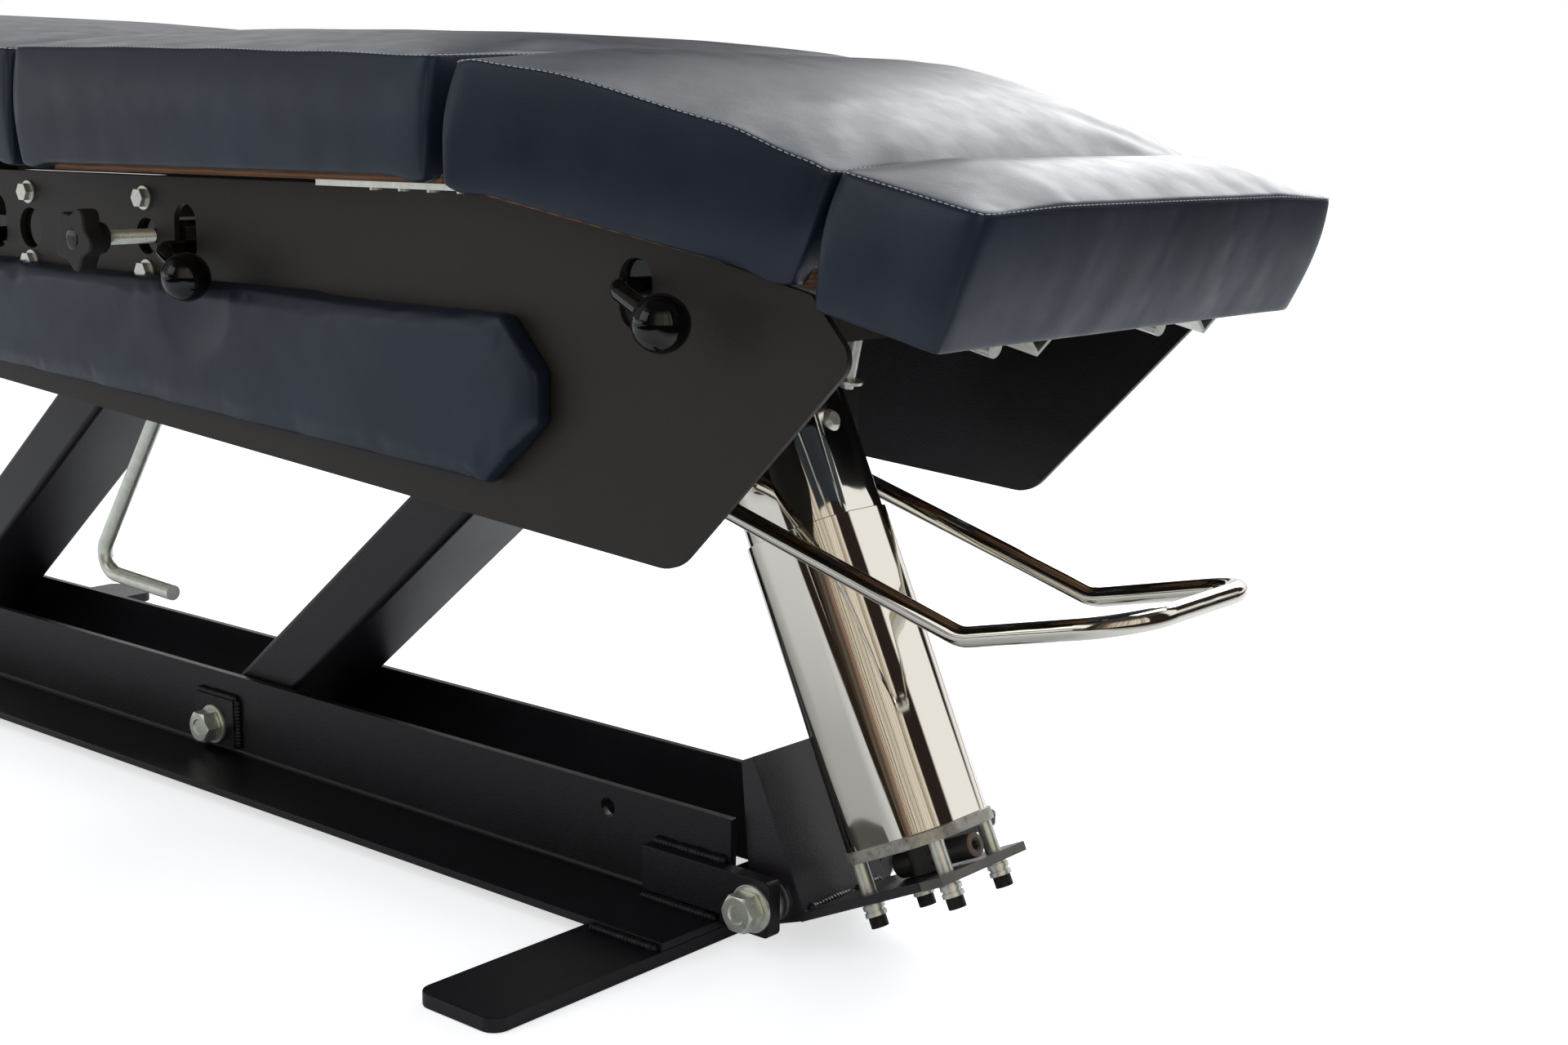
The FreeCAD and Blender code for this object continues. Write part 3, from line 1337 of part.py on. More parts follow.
# Bent handle on a pin from the near side plate
handle_x = S.rail_end_x - S.handle_pivot_back
handle_points = [
    (handle_x, -S.handle_y, S.handle_pivot_height),
    (S.rail_end_x - S.handle_bend_back, -S.handle_y, S.handle_bend_height),
    (S.rail_end_x - S.handle_end_back, -S.handle_y, S.handle_end_height),
]
handle_sweep = bent_bar("handle_sweep", S.handle_radius, handle_points, [S.handle_bend_radius])
handle_boss_y = S.handle_boss_half - S.handle_y
handle_boss = rod("handle_boss", S.handle_boss_radius, S.handle_boss_half * 2,
                  handle_x, handle_boss_y, S.handle_pivot_height, TO_MINUS_Y)
handle_bore = rod("handle_bore", S.handle_pin_radius + S.run_clearance, (S.handle_boss_half + S.cut_overrun) * 2,
                  handle_x, handle_boss_y + S.cut_overrun, S.handle_pivot_height, TO_MINUS_Y)
cut("bent_handle", fuse("handle_solid", [handle_sweep, handle_boss]), handle_bore)
pin_inner = S.handle_y - S.handle_boss_half
pins.append(rod("handle_pin", S.handle_pin_radius, plate_inner_y - pin_inner, handle_x, -pin_inner,
                S.handle_pivot_height, TO_MINUS_Y))
group("frame_pins", pins)

# Cushions
# Where the sections of a cushion stand along it, as shares of its length
STATION_SHARES = (0.0, 0.07, 0.3, 0.7, 0.93, 1.0)
CROWN_SHARES = (0.30, 0.62, 1.0, 1.0, 0.62, 0.30)
# Heights of the leg cushion, and how far each cushion's ends lean, as shares of height
LEG_HEIGHT_SHARES = (0.89, 0.94, 0.99, 0.945, 0.845, 0.80)
LEG_LEAN_SHARES = (0.14, 0.14)
ANKLE_LEAN_SHARES = (0.07, 0.19)
NO_LEAN_SHARES = (0.0, 0.0)


def cushion_section(x, half, height, crown, y_middle, lean):
    """A closed outline: flat below, tucked-in bowed sides and a crowned top."""
    def at(y, z):
        return Vector(x - lean * z, y_middle + y, z)
    foot = half - S.cushion_tuck.value
    belly = half + S.cushion_bulge.value
    right = Part.Arc(at(foot, 0), at(belly, height / 2), at(half, height)).toShape()
    top = Part.Arc(at(half, height), at(0, height + crown), at(-half, height)).toShape()
    left = Part.Arc(at(-half, height), at(-belly, height / 2), at(-foot, 0)).toShape()
    base = Part.LineSegment(at(-foot, 0), at(foot, 0)).toShape()
    return Part.Wire([right, top, left, base])


def cushion_shape(length, halves, heights, leans, y_middle=0.0):
    """A padded block from x = 0 on, its underside on z = 0."""
    sections = []
    stations = zip(STATION_SHARES, CROWN_SHARES, halves, heights, spread(*leans))
    for share, crown_share, half, height, lean in stations:
        drawn = half - (S.cushion_end_draw.value if share in (0.0, 1.0) else 0.0)
        crown = S.cushion_crown.value * crown_share
        sections.append(cushion_section(length * share, drawn, height, crown, y_middle, lean))
    return Part.makeLoft(sections, True, False)


def spread(first, last, arch=0.0):
    """Values from first to last along a cushion, arched up in the middle by a share."""
    values = []
    for share in STATION_SHARES:
        level = first + (last - first) * share
        values.append(level * (1 + arch * 4 * share * (1 - share)))
    return values


def board_outline(length, first, last):
    inset = S.board_inset
    return [
        (inset, inset - first),
        (length - inset, inset - last),
        (length - inset, last - inset),
        (inset, first - inset),
    ]


def section_pair(name, length, first, last, heights, at, slope, leans):
    """A board and the cushion that it is let into, in the section's own axes."""
    board = new_body(name + "_board")
    outline = board_outline(length, first, last)
    pad(board, "XY_Plane", ZERO, S.board_thick, [outline])
    place(board, *at, axis=(0, 1, 0), angle=slope)
    doc.recompute()
    rise = (S.board_thick - S.board_sink).value
    shape = cushion_shape(length.value, spread(first.value, last.value), heights, leans)
    shape.translate(Vector(0, 0, rise))
    local_board = board.Shape.copy()
    local_board.Placement = Placement()
    cushion = doc.addObject("Part::Feature", name + "_cushion")
    cushion.Shape = shape.cut(local_board)
    place(cushion, *at, axis=(0, 1, 0), angle=slope)


board_rise = S.board_thick - S.board_sink
section_pair("pelvic", S.pelvic_length, S.cushion_half_width, S.cushion_half_width,
             spread((S.pelvic_head_height).value, (S.pelvic_foot_height).value, 0.02),
             (pelvic_head_x, ZERO, board_low), ZERO, NO_LEAN_SHARES)
section_pair("leg", S.leg_length, S.cushion_half_width, S.leg_foot_half_width,
             [S.leg_height.value * share for share in LEG_HEIGHT_SHARES],
             (leg_head_x, ZERO, S.leg_head_rise), S.leg_slope, LEG_LEAN_SHARES)
ankle_x = leg_foot_x + S.ankle_gap * cosine(S.leg_slope)
ankle_z = under_leg(ankle_x)
section_pair("ankle", S.ankle_length, S.leg_foot_half_width, S.ankle_foot_half_width,
             spread(S.ankle_height.value, S.ankle_height.value * ankle_end_share),
             (ankle_x, ZERO, ankle_z), S.leg_slope, ANKLE_LEAN_SHARES)
thoracic_head_x = thoracic_foot_x - S.thoracic_length * cosine(S.thoracic_slope)
thoracic_head_z = board_low + S.thoracic_length * sine(S.thoracic_slope)
section_pair("thoracic", S.thoracic_length, S.cushion_half_width, S.cushion_half_width,
             spread(S.thoracic_height.value, S.thoracic_height.value, 0.02),
             (thoracic_head_x, ZERO, thoracic_head_z), S.thoracic_slope, NO_LEAN_SHARES)

# Zinc strips and their screw heads under the pelvic board
strips = []
for side_name, side in (("near", -1), ("far", 1)):
    y = S.strip_side_y if side > 0 else -S.strip_side_y - S.strip_width
    x = S.rail_end_x - S.strip_foot_back - S.strip_length
    plate = box("strip_plate_" + side_name, x, y, board_low - S.strip_thick,
                S.strip_length, S.strip_width, S.strip_thick)
    heads = [plate]
    for i in range(4):
        head_x = x + S.strip_length * (strip_first_share + strip_step_share * i)
        heads.append(rod("strip_screw_%s_%d" % (side_name, i), S.strip_thick, S.strip_thick * strip_head_share, head_x,
                         y + S.strip_width / 2 + S.strip_width / 4 * side, board_low - S.strip_thick * strip_head_share))
    strips.append(fuse("board_strip_" + side_name, heads))
group("board_strips", strips)


def leg_frame(obj):
    return place(obj, leg_head_x, ZERO, S.leg_head_rise, (0, 1, 0), S.leg_slope)


# Guide rod under the leg board, with a clip near its lower end
guide_shaft = rod("guide_shaft", S.guide_rod_radius, S.guide_rod_low, guide_local_x, ZERO, -S.guide_rod_low)
guide_clip = rod("guide_clip", S.guide_clip_radius, S.guide_clip_thick, guide_local_x, ZERO,
                 S.guide_clip_rise - S.guide_rod_low)
leg_frame(fuse("guide_rod", [guide_shaft, guide_clip]))

# Two tubes under the leg board take the ankle rest's rods
slide_outer = S.slide_rod_radius + S.run_clearance + S.slide_tube_wall
tubes, slides, clips = [], [], []
tube_start = S.leg_length - S.board_inset - S.slide_tube_length
ankle_local_x = S.leg_length + S.ankle_gap
for side_name, side in (("near", -1), ("far", 1)):
    y = S.slide_rod_y * side
    z = -S.slide_rod_drop
    tube = rod("slide_tube_solid_" + side_name, slide_outer, S.slide_tube_length, tube_start, y, z, TO_PLUS_X)
    saddle = box("slide_saddle_" + side_name, tube_start, y - slide_outer / 2, z,
                 S.slide_tube_length, slide_outer, S.slide_rod_drop)
    bore = rod("slide_tube_bore_" + side_name, S.slide_rod_radius + S.run_clearance,
               S.slide_tube_length + S.cut_overrun * 2, tube_start - S.cut_overrun, y, z, TO_PLUS_X)
    tubes.append(cut("slide_tube_" + side_name, fuse("slide_tube_body_" + side_name, [tube, saddle]), bore))
    rod_end = ankle_local_x + S.ankle_length - S.slide_rod_end_in
    rod_length = S.slide_rod_back
    shaft = rod("slide_shaft_" + side_name, S.slide_rod_radius, rod_length, rod_end - rod_length, y, z, TO_PLUS_X)
    post_x = ankle_local_x + S.board_inset
    post = box("slide_post_" + side_name, post_x, y - S.slide_rod_radius / 2, z,
               rod_end - post_x - S.slide_rod_radius, S.slide_rod_radius, S.slide_rod_drop)
    slides.append(fuse("slide_rod_" + side_name, [shaft, post]))
leg_frame(group("slide_tubes", tubes))
leg_frame(group("slide_rods", slides))


def vee_clip(name, side):
    """A strip bent to a vee, its two feet on the ankle board."""
    body = new_body(name)
    middle = S.clip_y * side
    span = S.clip_half_span
    thick = S.clip_thick
    depth = S.slide_rod_drop - slide_outer / 2
    foot = S.clip_half_span * clip_foot_share
    outline = [
        (middle - span - foot, -thick),
        (middle - span - foot, ZERO),
        (middle - span + thick, ZERO),
        (middle, thick * clip_nose_share - depth),
        (middle + span - thick, ZERO),
        (middle + span + foot, ZERO),
        (middle + span + foot, -thick),
        (middle + span, -thick),
        (middle, -depth),
        (middle - span, -thick),
    ]
    x = ankle_local_x + S.ankle_length - S.board_inset - S.clip_width
    pad(body, "YZ_Plane", x, S.clip_width, [outline])
    return body


leg_frame(group("vee_clips", [vee_clip("vee_clip_near", -1), vee_clip("vee_clip_far", 1)]))

# Head piece: two rods from the frame carry a cradle that tilts
head_foot_x = thoracic_head_x - S.head_gap
head_pivot_x = end_beam_x - S.beam_size / 2 - S.head_rod_length + S.cradle_boss_radius * 2
rods = []
for side_name, side in (("near", -1), ("far", 1)):
    y = S.head_rod_y * side
    rods.append(rod("head_rod_" + side_name, S.head_rod_radius, S.head_rod_length,
                    end_beam_x - S.beam_size / 2, y, S.head_rod_height, TO_MINUS_X))
cross = rod("head_cross_shaft", S.cradle_boss_radius - S.cradle_boss_wall, (S.head_rod_y + S.head_rod_radius) * 2,
            end_beam_x - S.beam_size / 2 - S.head_rod_length, S.head_rod_y + S.head_rod_radius,
            S.head_rod_height, TO_MINUS_Y)
fuse("head_rods", rods + [cross])
head_pivot_x = end_beam_x - S.beam_size / 2 - S.head_rod_length
head_board_z = thoracic_head_z - S.head_drop
head_x = head_foot_x - S.head_length * cosine(S.head_slope)


def head_frame(obj):
    return place(obj, head_x, ZERO, head_board_z, (0, 1, 0), S.head_slope)


cradle_plate = box("cradle_plate", S.head_length / 2 - S.cradle_length / 2, -S.cradle_half_width,
                   -S.cradle_thick, S.cradle_length, S.cradle_half_width * 2, S.cradle_thick)
window_half = S.head_slit_half - S.window_clearance
cradle_window = box("cradle_window", S.head_length / 2 - S.cradle_window / 2, -window_half,
                    -S.cradle_thick - S.cut_overrun, S.cradle_window, window_half * 2,
                    S.cradle_thick + S.cut_overrun * 2)
cradle_tray = head_frame(cut("cradle_tray", cradle_plate, cradle_window))
cheeks = []
shaft_radius = S.cradle_boss_radius - S.cradle_boss_wall
for side_name, side in (("near", -1), ("far", 1)):
    cheek_y = (S.head_slit_half + S.cradle_thick) * side - S.cradle_thick / 2
    cheek_run = head_pivot_x + S.cradle_boss_radius - head_x
    cheek_top = head_board_z - cheek_run * sine(S.head_slope) - S.cradle_thick / 2
    cheek = box("cradle_cheek_" + side_name, head_pivot_x - S.cradle_boss_radius, cheek_y, S.head_rod_height,
                S.cradle_boss_radius * 2, S.cradle_thick, cheek_top - S.head_rod_height)
    boss = rod("cradle_boss_" + side_name, S.cradle_boss_radius, S.cradle_thick,
               head_pivot_x, cheek_y + S.cradle_thick, S.head_rod_height, TO_MINUS_Y)
    cheeks.extend([cheek, boss])
cradle_solid = fuse("cradle_solid", [cradle_tray] + cheeks)
cradle_bore = rod("cradle_bore", shaft_radius + S.run_clearance, S.head_rod_y * 4,
                  head_pivot_x, S.head_rod_y * 2, S.head_rod_height, TO_MINUS_Y)
cut("head_cradle", cradle_solid, cradle_bore)


def face_cushion(name, side):
    """One half of the split head cushion and the board under it."""
    half = (S.head_half_width - S.head_slit_half) / 2
    middle = (S.head_slit_half + half) * side
    inset = S.board_inset / 2
    board = new_body(name + "_board")
    outline = rectangle(inset, middle - half + inset, S.head_length - inset, middle + half - inset, S.slot_corner)
    pad(board, "XY_Plane", ZERO, S.board_thick, [outline])
    head_frame(board)
    doc.recompute()
    shape = cushion_shape(S.head_length.value, spread(half.value, half.value),
                          spread(S.head_height.value, S.head_height.value, 0.03),
                          NO_LEAN_SHARES, middle.value)
    shape.translate(Vector(0, 0, board_rise.value))
    local_board = board.Shape.copy()
    local_board.Placement = Placement()
    pillow = doc.addObject("Part::Feature", name)
    pillow.Shape = shape.cut(local_board)
    head_frame(pillow)
    return board, pillow


face_halves = [face_cushion("face_cushion_near", -1), face_cushion("face_cushion_far", 1)]
group("head_boards", [board for board, pillow in face_halves])
group("face_cushions", [pillow for board, pillow in face_halves])

# The sub-parts that are written out, one file each
NODES = (
    "rail_near", "rail_far", "foot_bars", "column_lugs", "arm_pads",
    "pivot_bolts", "pivot_nuts", "pivot_washers", "lift_arm_foot", "lift_arm_head",
    "side_plate_near", "side_plate_far", "inner_plates", "plate_bolts", "cross_beams",
    "pivot_plates", "frame_pins", "bumpers", "side_pad_near", "side_pad_far", "head_rods", "column_bracket", "end_plate", "outer_sleeve",
    "spacer_tubes", "column_screws", "spring_washers", "strap", "pump_block", "barrel",
    "inner_sleeve", "sleeve_cap", "ram", "cap_screw", "pedal_bar", "pelvic_lever",
    "leg_lever", "thoracic_lever", "star_knob", "knob_stud", "bent_handle",
    "pelvic_board", "pelvic_cushion", "board_strips", "leg_board", "leg_cushion", "guide_rod",
    "slide_tubes", "ankle_board", "ankle_cushion", "slide_rods", "vee_clips",
    "thoracic_board", "thoracic_cushion", "head_cradle", "head_boards",
    "face_cushions",
)

doc.recompute()
faults = []
for obj in doc.Objects:
    if "Invalid" in obj.State or "Error" in obj.State:
        faults.append("%s: %s" % (obj.Name, obj.State))
for name in NODES:
    obj = doc.getObject(name)
    if obj is None:
        faults.append("%s: missing" % name)
        continue
    obj.Label = name
    if obj.Shape.isNull() or not obj.Shape.isValid() or not obj.Shape.Solids:
        faults.append("%s: bad shape" % name)
if faults:
    raise RuntimeError("; ".join(faults))

os.makedirs("parts", exist_ok=True)
for name in NODES:
    doc.getObject(name).Shape.exportStep("parts/%s.step" % name)
print("wrote %d sub-parts" % len(NODES))
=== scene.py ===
"""How the chiropractic table looks.

Vinyl cushions, coated steel, chrome sleeves, zinc hardware and plywood boards.
"""

import math

import bmesh
import bpy
from mathutils import Matrix, Vector, noise


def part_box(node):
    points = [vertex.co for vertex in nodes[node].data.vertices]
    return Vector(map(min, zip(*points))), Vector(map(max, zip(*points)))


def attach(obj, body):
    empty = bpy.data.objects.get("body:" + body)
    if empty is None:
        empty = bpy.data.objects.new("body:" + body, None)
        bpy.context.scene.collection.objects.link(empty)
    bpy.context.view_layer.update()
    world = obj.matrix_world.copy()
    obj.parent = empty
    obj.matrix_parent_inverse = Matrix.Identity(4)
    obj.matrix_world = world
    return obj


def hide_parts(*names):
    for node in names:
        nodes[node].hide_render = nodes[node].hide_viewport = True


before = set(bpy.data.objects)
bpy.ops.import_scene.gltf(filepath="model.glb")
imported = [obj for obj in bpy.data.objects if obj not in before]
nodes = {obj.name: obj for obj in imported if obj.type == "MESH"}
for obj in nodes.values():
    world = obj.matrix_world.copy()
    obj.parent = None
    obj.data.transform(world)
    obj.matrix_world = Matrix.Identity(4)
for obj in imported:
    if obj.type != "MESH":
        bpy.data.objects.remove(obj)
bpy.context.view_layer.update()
mm = 0.001
same_point = 0.005 * mm  # corners closer than this are one corner
column_lean = math.radians(25)  # of the lift column at rest, above the level


# Small helpers for objects


def deselect_everything():
    """Leaves object mode with nothing selected."""
    if bpy.context.object and bpy.context.object.mode != "OBJECT":
        bpy.ops.object.mode_set(mode="OBJECT")
    bpy.ops.object.select_all(action="DESELECT")


def choose(piece):
    """Makes one piece the only one selected."""
    deselect_everything()
    piece.select_set(True)
    bpy.context.view_layer.objects.active = piece


def apply_modifiers(piece):
    choose(piece)
    for modifier in list(piece.modifiers):
        bpy.ops.object.modifier_apply(modifier=modifier.name)


def settle(piece):
    """Moves a piece's place and turn into its mesh."""
    choose(piece)
    bpy.ops.object.transform_apply(location=True, rotation=True, scale=True)


def edit_whole(piece):
    """Opens a piece in edit mode with all of it selected."""
    choose(piece)
    bpy.ops.object.mode_set(mode="EDIT")
    bpy.ops.mesh.select_all(action="SELECT")


def refine(piece):
    """Divides each face of a soft skin once, along smooth curves."""
    finer = piece.modifiers.new("finer", "SUBSURF")
    finer.levels = finer.render_levels = 1
    apply_modifiers(piece)


def smooth(piece, angle):
    """Shades a piece round, except at edges sharper than an angle in degrees."""
    choose(piece)
    bpy.ops.object.shade_smooth_by_angle(angle=math.radians(angle))


def dress(piece, body, slot, material, *replaced):
    """Gives a finished piece its material, and lets it ride on its body."""
    piece.data.materials.clear()
    piece.data.materials.append(material)
    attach(piece, body)
    if replaced:
        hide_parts(*replaced)


def from_mesh(name, build):
    """Makes an object from a bmesh that build fills."""
    mesh = bpy.data.meshes.new(name)
    made = bmesh.new()
    build(made)
    made.to_mesh(mesh)
    made.free()
    piece = bpy.data.objects.new(name, mesh)
    bpy.context.scene.collection.objects.link(piece)
    return piece


def copy_of(node_name, name):
    """A merged copy of a CAD node's mesh."""
    mesh = nodes[node_name].data.copy()
    piece = bpy.data.objects.new(name, mesh)
    bpy.context.scene.collection.objects.link(piece)
    edit_whole(piece)
    bpy.ops.mesh.customdata_custom_splitnormals_clear()
    bpy.ops.mesh.remove_doubles(threshold=same_point)
    bpy.ops.mesh.dissolve_limited(angle_limit=math.radians(0.3))
    bpy.ops.object.mode_set(mode="OBJECT")
    return piece


# Materials


def linear(hex_text):
    """An sRGB hex colour as linear red, green, blue and alpha."""
    parts = [int(hex_text[i : i + 2], 16) / 255 for i in (1, 3, 5)]
    return [c / 12.92 if c <= 0.04045 else ((c + 0.055) / 1.055) ** 2.4 for c in parts] + [1.0]


def per_mm(size):
    """The scale of a texture whose features are this many millimetres wide."""
    return 1000.0 / size


def node(material, kind, links=None, values=None, stops=(), **settings):
    """Adds a shader node with its settings, values, links and the stops of its colours if it is a ramp.

    A link comes from a socket, or from the first output of a node.
    """
    made = material.node_tree.nodes.new("ShaderNode" + kind)
    for setting, value in settings.items():
        setattr(made, setting, value)
    for socket, value in (values or {}).items():
        made.inputs[socket].default_value = value
    for socket, source in (links or {}).items():
        output = source.outputs[0] if isinstance(source, bpy.types.Node) else source
        material.node_tree.links.new(output, made.inputs[socket])
    if stops:
        elements = made.color_ramp.elements
        while len(elements) < len(stops):
            elements.new(0.5)
        for element, (place, value) in zip(elements, stops):
            element.position = place
            element.color = linear(value) if isinstance(value, str) else (value, value, value, 1.0)
    return made


def new_material(name):
    """An empty material, and the place on the piece that its patterns read."""
    material = bpy.data.materials.new(name)
    material.use_nodes = True
    material.node_tree.nodes.clear()
    return material, node(material, "TexCoord").outputs["Object"]


def finish_material(material, links, values):
    """Joins the patterns to the surface of a material."""
    surface = node(material, "BsdfPrincipled", links, values)
    node(material, "OutputMaterial", {"Surface": surface})
    return material


def coated_steel(name, dark, light, rough, gleam):
    """Steel under baked powder, oil or rust: satin, with a peel of about 1.4 mm and a soft change of tone."""
    material, place = new_material(name)
    peel = node(material, "TexNoise", {"Vector": place},
                {"Scale": per_mm(1.4), "Detail": 3.0, "Roughness": 0.55})
    broad = node(material, "TexNoise", {"Vector": place},
                 {"Scale": per_mm(160), "Detail": 4.0, "Roughness": 0.6})
    tone = node(material, "ValToRGB", {"Fac": broad}, stops=[(0.3, dark), (0.7, light)])
    sheen = node(material, "MapRange", {"Value": broad},
                 {"From Min": 0.3, "From Max": 0.7, "To Min": rough - 0.04, "To Max": rough + 0.05})
    bump = node(material, "Bump", {"Height": peel}, {"Strength": 0.5, "Distance": 0.0004})
    return finish_material(material, {"Base Color": tone, "Roughness": sheen, "Normal": bump},
                           {"Specular IOR Level": gleam})


def zinc_plate():
    """Bright zinc plating with a passivate: mottled pale silver with a faint yellow-green cast."""
    material, place = new_material("bright_zinc_plate")
    spots = node(material, "TexNoise", {"Vector": place},
                 {"Scale": per_mm(9), "Detail": 5.0, "Roughness": 0.65})
    grain = node(material, "TexNoise", {"Vector": place}, {"Scale": per_mm(0.9), "Detail": 2.0})
    tone = node(material, "ValToRGB", {"Fac": spots},
                stops=[(0.3, "#d3d6c9"), (0.55, "#e4e7dc"), (0.75, "#f1f3ea")])
    rough = node(material, "MapRange", {"Value": spots},
                 {"From Min": 0.3, "From Max": 0.75, "To Min": 0.27, "To Max": 0.34})
    bump = node(material, "Bump", {"Height": grain}, {"Strength": 0.03, "Distance": 0.0002})
    return finish_material(material, {"Base Color": tone, "Roughness": rough, "Normal": bump},
                           {"Metallic": 0.75})


def chrome_plate(name, rough, streak):
    """Hard chrome over polished tube: a mirror with the faint long draw lines of the tube under it."""
    material, place = new_material(name)
    along = node(material, "Mapping", {"Vector": place},
                 {"Rotation": (0.0, column_lean, 0.0), "Scale": (1.0, 1.0, 0.02)})
    lines = node(material, "TexNoise", {"Vector": along},
                 {"Scale": per_mm(2.2), "Detail": 3.0, "Roughness": 0.6})
    haze = node(material, "TexNoise", {"Vector": place}, {"Scale": per_mm(40), "Detail": 4.0})
    clear = node(material, "MapRange", {"Value": haze},
                 {"From Min": 0.35, "From Max": 0.7, "To Min": rough, "To Max": rough + 0.05})
    waves = node(material, "TexNoise", {"Vector": along}, {"Scale": per_mm(20), "Detail": 0.0})
    drawn = node(material, "Bump", {"Height": waves}, {"Strength": 0.25, "Distance": 0.001})
    bump = node(material, "Bump", {"Height": lines, "Normal": drawn},
                {"Strength": streak, "Distance": 0.0001})
    return finish_material(material, {"Roughness": clear, "Normal": bump},
                           {"Base Color": linear("#e6e1d6"), "Metallic": 1.0})


def sawn_steel():
    """Bare hot-rolled steel, ground by hand: grey with dark scale spots and fine scratches."""
    material, place = new_material("bare_rolled_steel")
    scale_spots = node(material, "TexNoise", {"Vector": place},
                       {"Scale": per_mm(6), "Detail": 6.0, "Roughness": 0.75})
    scratch_way = node(material, "Mapping", {"Vector": place}, {"Scale": (1.0, 0.08, 1.0)})
    scratches = node(material, "TexNoise", {"Vector": scratch_way}, {"Scale": per_mm(0.8), "Detail": 3.0})
    tone = node(material, "ValToRGB", {"Fac": scale_spots},
                stops=[(0.3, "#6a6761"), (0.44, "#a8a59b"), (0.7, "#cfccc2")])
    bump = node(material, "Bump", {"Height": scratches}, {"Strength": 0.35, "Distance": 0.0003})
    return finish_material(material, {"Base Color": tone, "Normal": bump},
                           {"Metallic": 0.85, "Roughness": 0.46})


def black_oxide():
    """Blackened alloy steel, oiled: near black, half matt."""
    material, place = new_material("black_oxide_steel")
    oil = node(material, "TexNoise", {"Vector": place}, {"Scale": per_mm(5), "Detail": 4.0})
    rough = node(material, "MapRange", {"Value": oil}, {"To Min": 0.3, "To Max": 0.6})
    tone = node(material, "ValToRGB", {"Fac": oil}, stops=[(0.3, "#15140f"), (0.7, "#2c2a27")])
    return finish_material(material, {"Base Color": tone, "Roughness": rough}, {"Metallic": 0.6})


def upholstery_vinyl(name, dark, light, rough):
    """Expanded vinyl on a knitted back: pebble grain of about 1 mm, soft sheen and a faint blotch of tone."""
    material, place = new_material(name)
    pebble = node(material, "TexVoronoi", {"Vector": place},
                  {"Scale": per_mm(1.1), "Randomness": 1.0}, feature="SMOOTH_F1")
    crease = node(material, "TexNoise", {"Vector": place},
                  {"Scale": per_mm(26), "Detail": 5.0, "Roughness": 0.55})
    blotch = node(material, "TexNoise", {"Vector": place}, {"Scale": per_mm(110), "Detail": 3.0})
    tone = node(material, "ValToRGB", {"Fac": blotch}, stops=[(0.3, dark), (0.7, light)])
    sheen = node(material, "MapRange", {"Value": crease},
                 {"From Min": 0.3, "From Max": 0.7, "To Min": rough - 0.05, "To Max": rough + 0.06})
    fold = node(material, "Bump", {"Height": crease}, {"Strength": 0.12, "Distance": 0.002})
    grain = node(material, "Bump", {"Height": pebble, "Normal": fold},
                 {"Strength": 0.2, "Distance": 0.0003})
    return finish_material(material, {"Base Color": tone, "Roughness": sheen, "Normal": grain}, {
        "Specular IOR Level": 0.42, "Specular Tint": (0.8, 0.89, 1.0, 1.0),
        "Coat Weight": 0.1, "Coat Roughness": 0.24,
    })


def plywood():
    """Raw birch plywood, stained by handling: brown veneers on its edges, long grain on its faces."""
    material, place = new_material("raw_plywood")
    # Bands repeat at a third of this scale's size, so a pale and a dark veneer take 3 mm
    layers = node(material, "TexWave", {"Vector": place},
                  {"Scale": per_mm(9.6), "Distortion": 0.6, "Detail": 2.0, "Detail Scale": 3.0},
                  bands_direction="Z").outputs["Fac"]
    grain_way = node(material, "Mapping", {"Vector": place}, {"Scale": (0.06, 1.0, 1.0)})
    fibres = node(material, "TexNoise", {"Vector": grain_way},
                  {"Scale": per_mm(1.6), "Detail": 5.0, "Roughness": 0.65})
    mixed = node(material, "Math", {0: layers, 1: fibres, 2: fibres}, operation="MULTIPLY_ADD")
    tone = node(material, "ValToRGB", {"Fac": mixed},
                stops=[(0.3, "#4a2e1d"), (0.6, "#6d472d"), (0.95, "#8d6340")])
    bump = node(material, "Bump", {"Height": fibres}, {"Strength": 0.4, "Distance": 0.0004})
    return finish_material(material, {"Base Color": tone, "Normal": bump}, {"Roughness": 0.72})


def moulded_plastic(name, base, rough, texture):
    """Moulded phenolic or nylon: solid black, glossy where polished and finely sparked where matt."""
    material, place = new_material(name)
    spark = node(material, "TexNoise", {"Vector": place}, {"Scale": per_mm(0.7), "Detail": 2.0})
    smear = node(material, "TexNoise", {"Vector": place}, {"Scale": per_mm(14), "Detail": 4.0})
    sheen = node(material, "MapRange", {"Value": smear}, {"To Min": rough, "To Max": rough + 0.06})
    bump = node(material, "Bump", {"Height": spark}, {"Strength": texture, "Distance": 0.0003})
    return finish_material(material, {"Roughness": sheen, "Normal": bump}, {"Base Color": linear(base)})


def brass():
    """Turned brass insert, dulled: warm yellow-brown with turning rings too fine to see."""
    material, place = new_material("turned_brass")
    dull = node(material, "TexNoise", {"Vector": place}, {"Scale": per_mm(4), "Detail": 4.0})
    tone = node(material, "ValToRGB", {"Fac": dull}, stops=[(0.3, "#6b4521"), (0.7, "#b07a3c")])
    return finish_material(material, {"Base Color": tone}, {"Metallic": 1.0, "Roughness": 0.35})


def polyester_thread():
    """Bonded polyester thread: pale blue-grey with its twist, so that each stitch shows on the navy vinyl."""
    material, place = new_material("bonded_thread")
    twist = node(material, "TexNoise", {"Vector": place}, {"Scale": per_mm(0.5)})
    tone = node(material, "ValToRGB", {"Fac": twist}, stops=[(0.3, "#8d97a4"), (0.7, "#c2c9d1")])
    return finish_material(material, {"Base Color": tone}, {"Roughness": 0.6})


